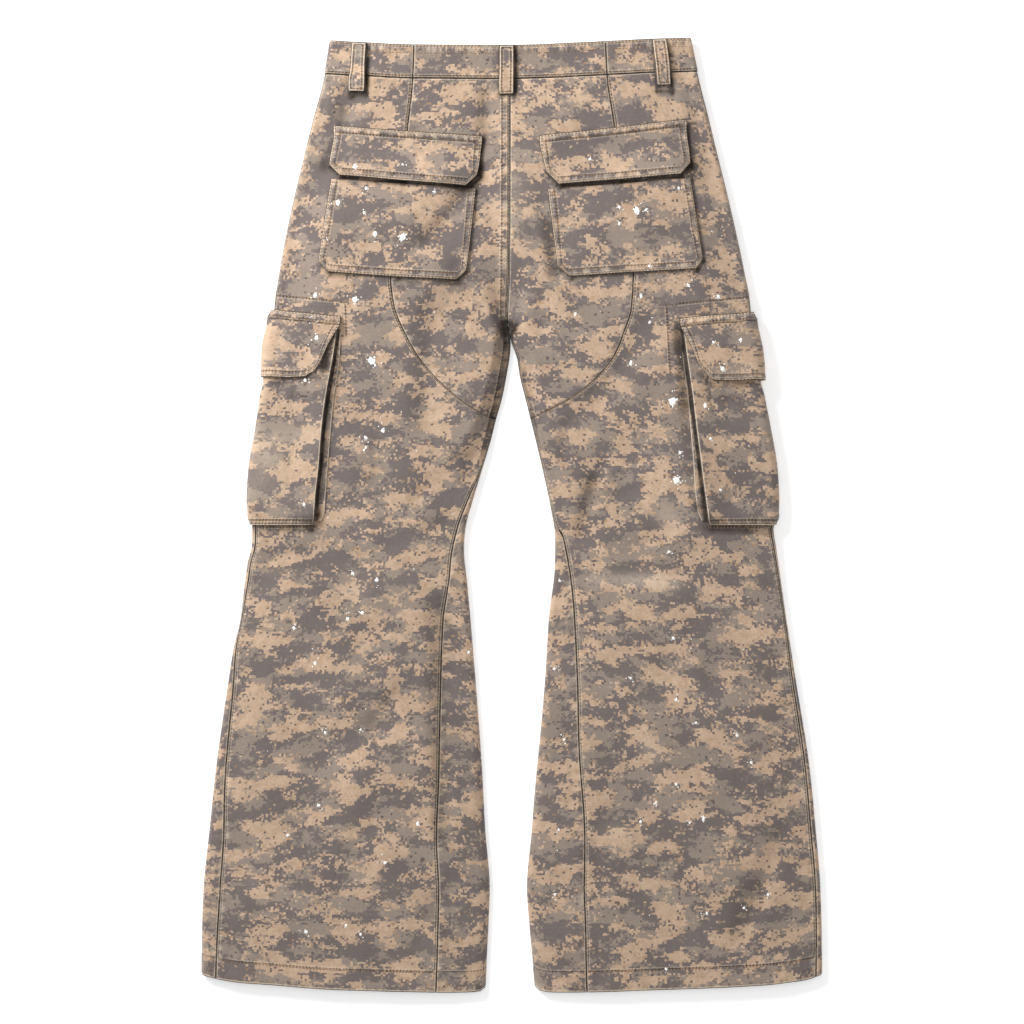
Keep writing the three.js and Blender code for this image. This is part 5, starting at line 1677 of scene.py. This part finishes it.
def add_flecks():
    """Dried paint: thin domes with ragged rims, laid on whatever is on top, with fine droplets round."""
    draws = np.random.default_rng(23)
    blobs = []
    for x, y, r, long in zip(*FLECKS.values()):
        blobs.append((x, y, r * 0.92, 1 + (long - 1) * 0.6, 19))
        for _ in range(int(r)):
            turn = draws.uniform(0, 2 * math.pi)
            away = r * draws.uniform(0.9, 1.35)
            small = r * draws.uniform(0.16, 0.34)
            blobs.append((x + away * math.cos(turn), y + away * math.sin(turn), small, 1.0, 7))
        for _ in range(int(1 + r * 1.3)):
            turn = draws.uniform(0, 2 * math.pi)
            away = r * draws.uniform(1.2, 3.6)
            small = draws.uniform(0.35, 0.95)
            blobs.append((x + away * math.cos(turn), y + away * math.sin(turn), small, 1.0, 7))
    for _ in range(60):
        x = draws.uniform(-300, 300)
        blobs.append((x, draws.uniform(-500, 450), draws.uniform(0.4, 0.9), 1.0, 7))
    points, faces = [], []
    trees = list(TREES.values())
    for x, y, r, long, count in blobs:
        lean = draws.uniform(-0.5, 0.5)
        noise = 1 + draws.normal(0, 0.1, count)
        if count > 10:
            noise = 0.82 + 0.55 * draws.random(count) ** 2.2
        rings = []
        for share, lift in ((1.0, -0.12), (0.72, 0.62), (0.0, 1.0)):
            for k in range(count if share else 1):
                angle = 2 * math.pi * k / count
                dx = r * share * noise[k] * math.cos(angle)
                dy = r * share * noise[k] * math.sin(angle) * long
                rings.append((x + dx + dy * lean * 0.4, y + dy, lift * FLECK_HIGH))
        laid = []
        for px, py, lift in rings:
            heights = []
            for tree in trees:
                hit = tree.ray_cast(Vector((px * MM, py * MM, 1)), Vector((0, 0, -1)))[0]
                if hit is not None:
                    heights.append(hit.z / MM)
            if heights and max(heights) > 6:
                laid.append((px, py, max(heights) + lift * min(1, r / 2 + 0.3)))
        spans = [p[2] for p in laid]
        if len(laid) < len(rings) or max(spans) - min(spans) > 2.5:
            continue
        base = len(points)
        points += laid
        for k in range(count):
            after = (k + 1) % count
            faces.append((base + k, base + after, base + count + after, base + count + k))
            faces.append((base + count + k, base + count + after, base + 2 * count))
        faces.append(tuple(base + k for k in range(count))[::-1])
    new_piece("paint_flecks", points, faces, "fleck")


def add_button():
    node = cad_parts["waist_button"]
    node.data.materials.clear()
    node.data.materials.append(MATERIALS["button"])


def add_lamp(name, size, energy, location):
    light = bpy.data.lights.new(name, "AREA")
    light.shape = "RECTANGLE"
    light.size = size
    light.size_y = size
    light.energy = energy
    lamp = bpy.data.objects.new(name, light)
    bpy.context.collection.objects.link(lamp)
    lamp.location = location
    lamp.rotation_euler = (-Vector(location)).to_track_quat("-Z", "Y").to_euler()


VIEW_WIDE = 1.1264


def add_stage():
    bpy.ops.mesh.primitive_plane_add(size=12)
    floor = bpy.context.object
    floor.name = "floor"
    floor.data.materials.append(MATERIALS["floor"])
    world = bpy.data.worlds.new("soft_light")
    world.use_nodes = True
    world.node_tree.nodes["Background"].inputs[0].default_value = (1, 1, 1, 1)
    world.node_tree.nodes["Background"].inputs[1].default_value = 0.42
    bpy.context.scene.world = world
    add_lamp("window", 0.7, 66, (-1.45, 1.5, 1.25))
    add_lamp("ceiling", 2.4, 20, (0.3, 0.2, 2.6))
    camera = bpy.data.cameras.new("camera")
    camera.lens = 85
    camera.sensor_width = 36
    eye = bpy.data.objects.new("camera", camera)
    bpy.context.collection.objects.link(eye)
    eye.location = (0.00055, 0.00275, VIEW_WIDE * camera.lens / camera.sensor_width + 0.012)
    eye.rotation_euler = (0, 0, 0)
    bpy.context.scene.camera = eye
    bpy.context.scene.view_settings.view_transform = "Standard"


MATERIALS["cloth"] = cloth_material()
MATERIALS.update(plain_materials())
add_stage()
for half in SIDES:
    add_front(half)
    add_back_leg(half)
    add_back_seat(half)
    add_back_pocket(half)
    add_cargo_pocket(half)
    add_cargo_gusset(half)
    add_cargo_flap(half)
add_waistband()
add_loops()
add_fly_placket()
add_button()
depsgraph = bpy.context.evaluated_depsgraph_get()
for node, piece in PIECES.items():
    TREES[node] = BVHTree.FromObject(piece, depsgraph)
sew()
add_flecks()
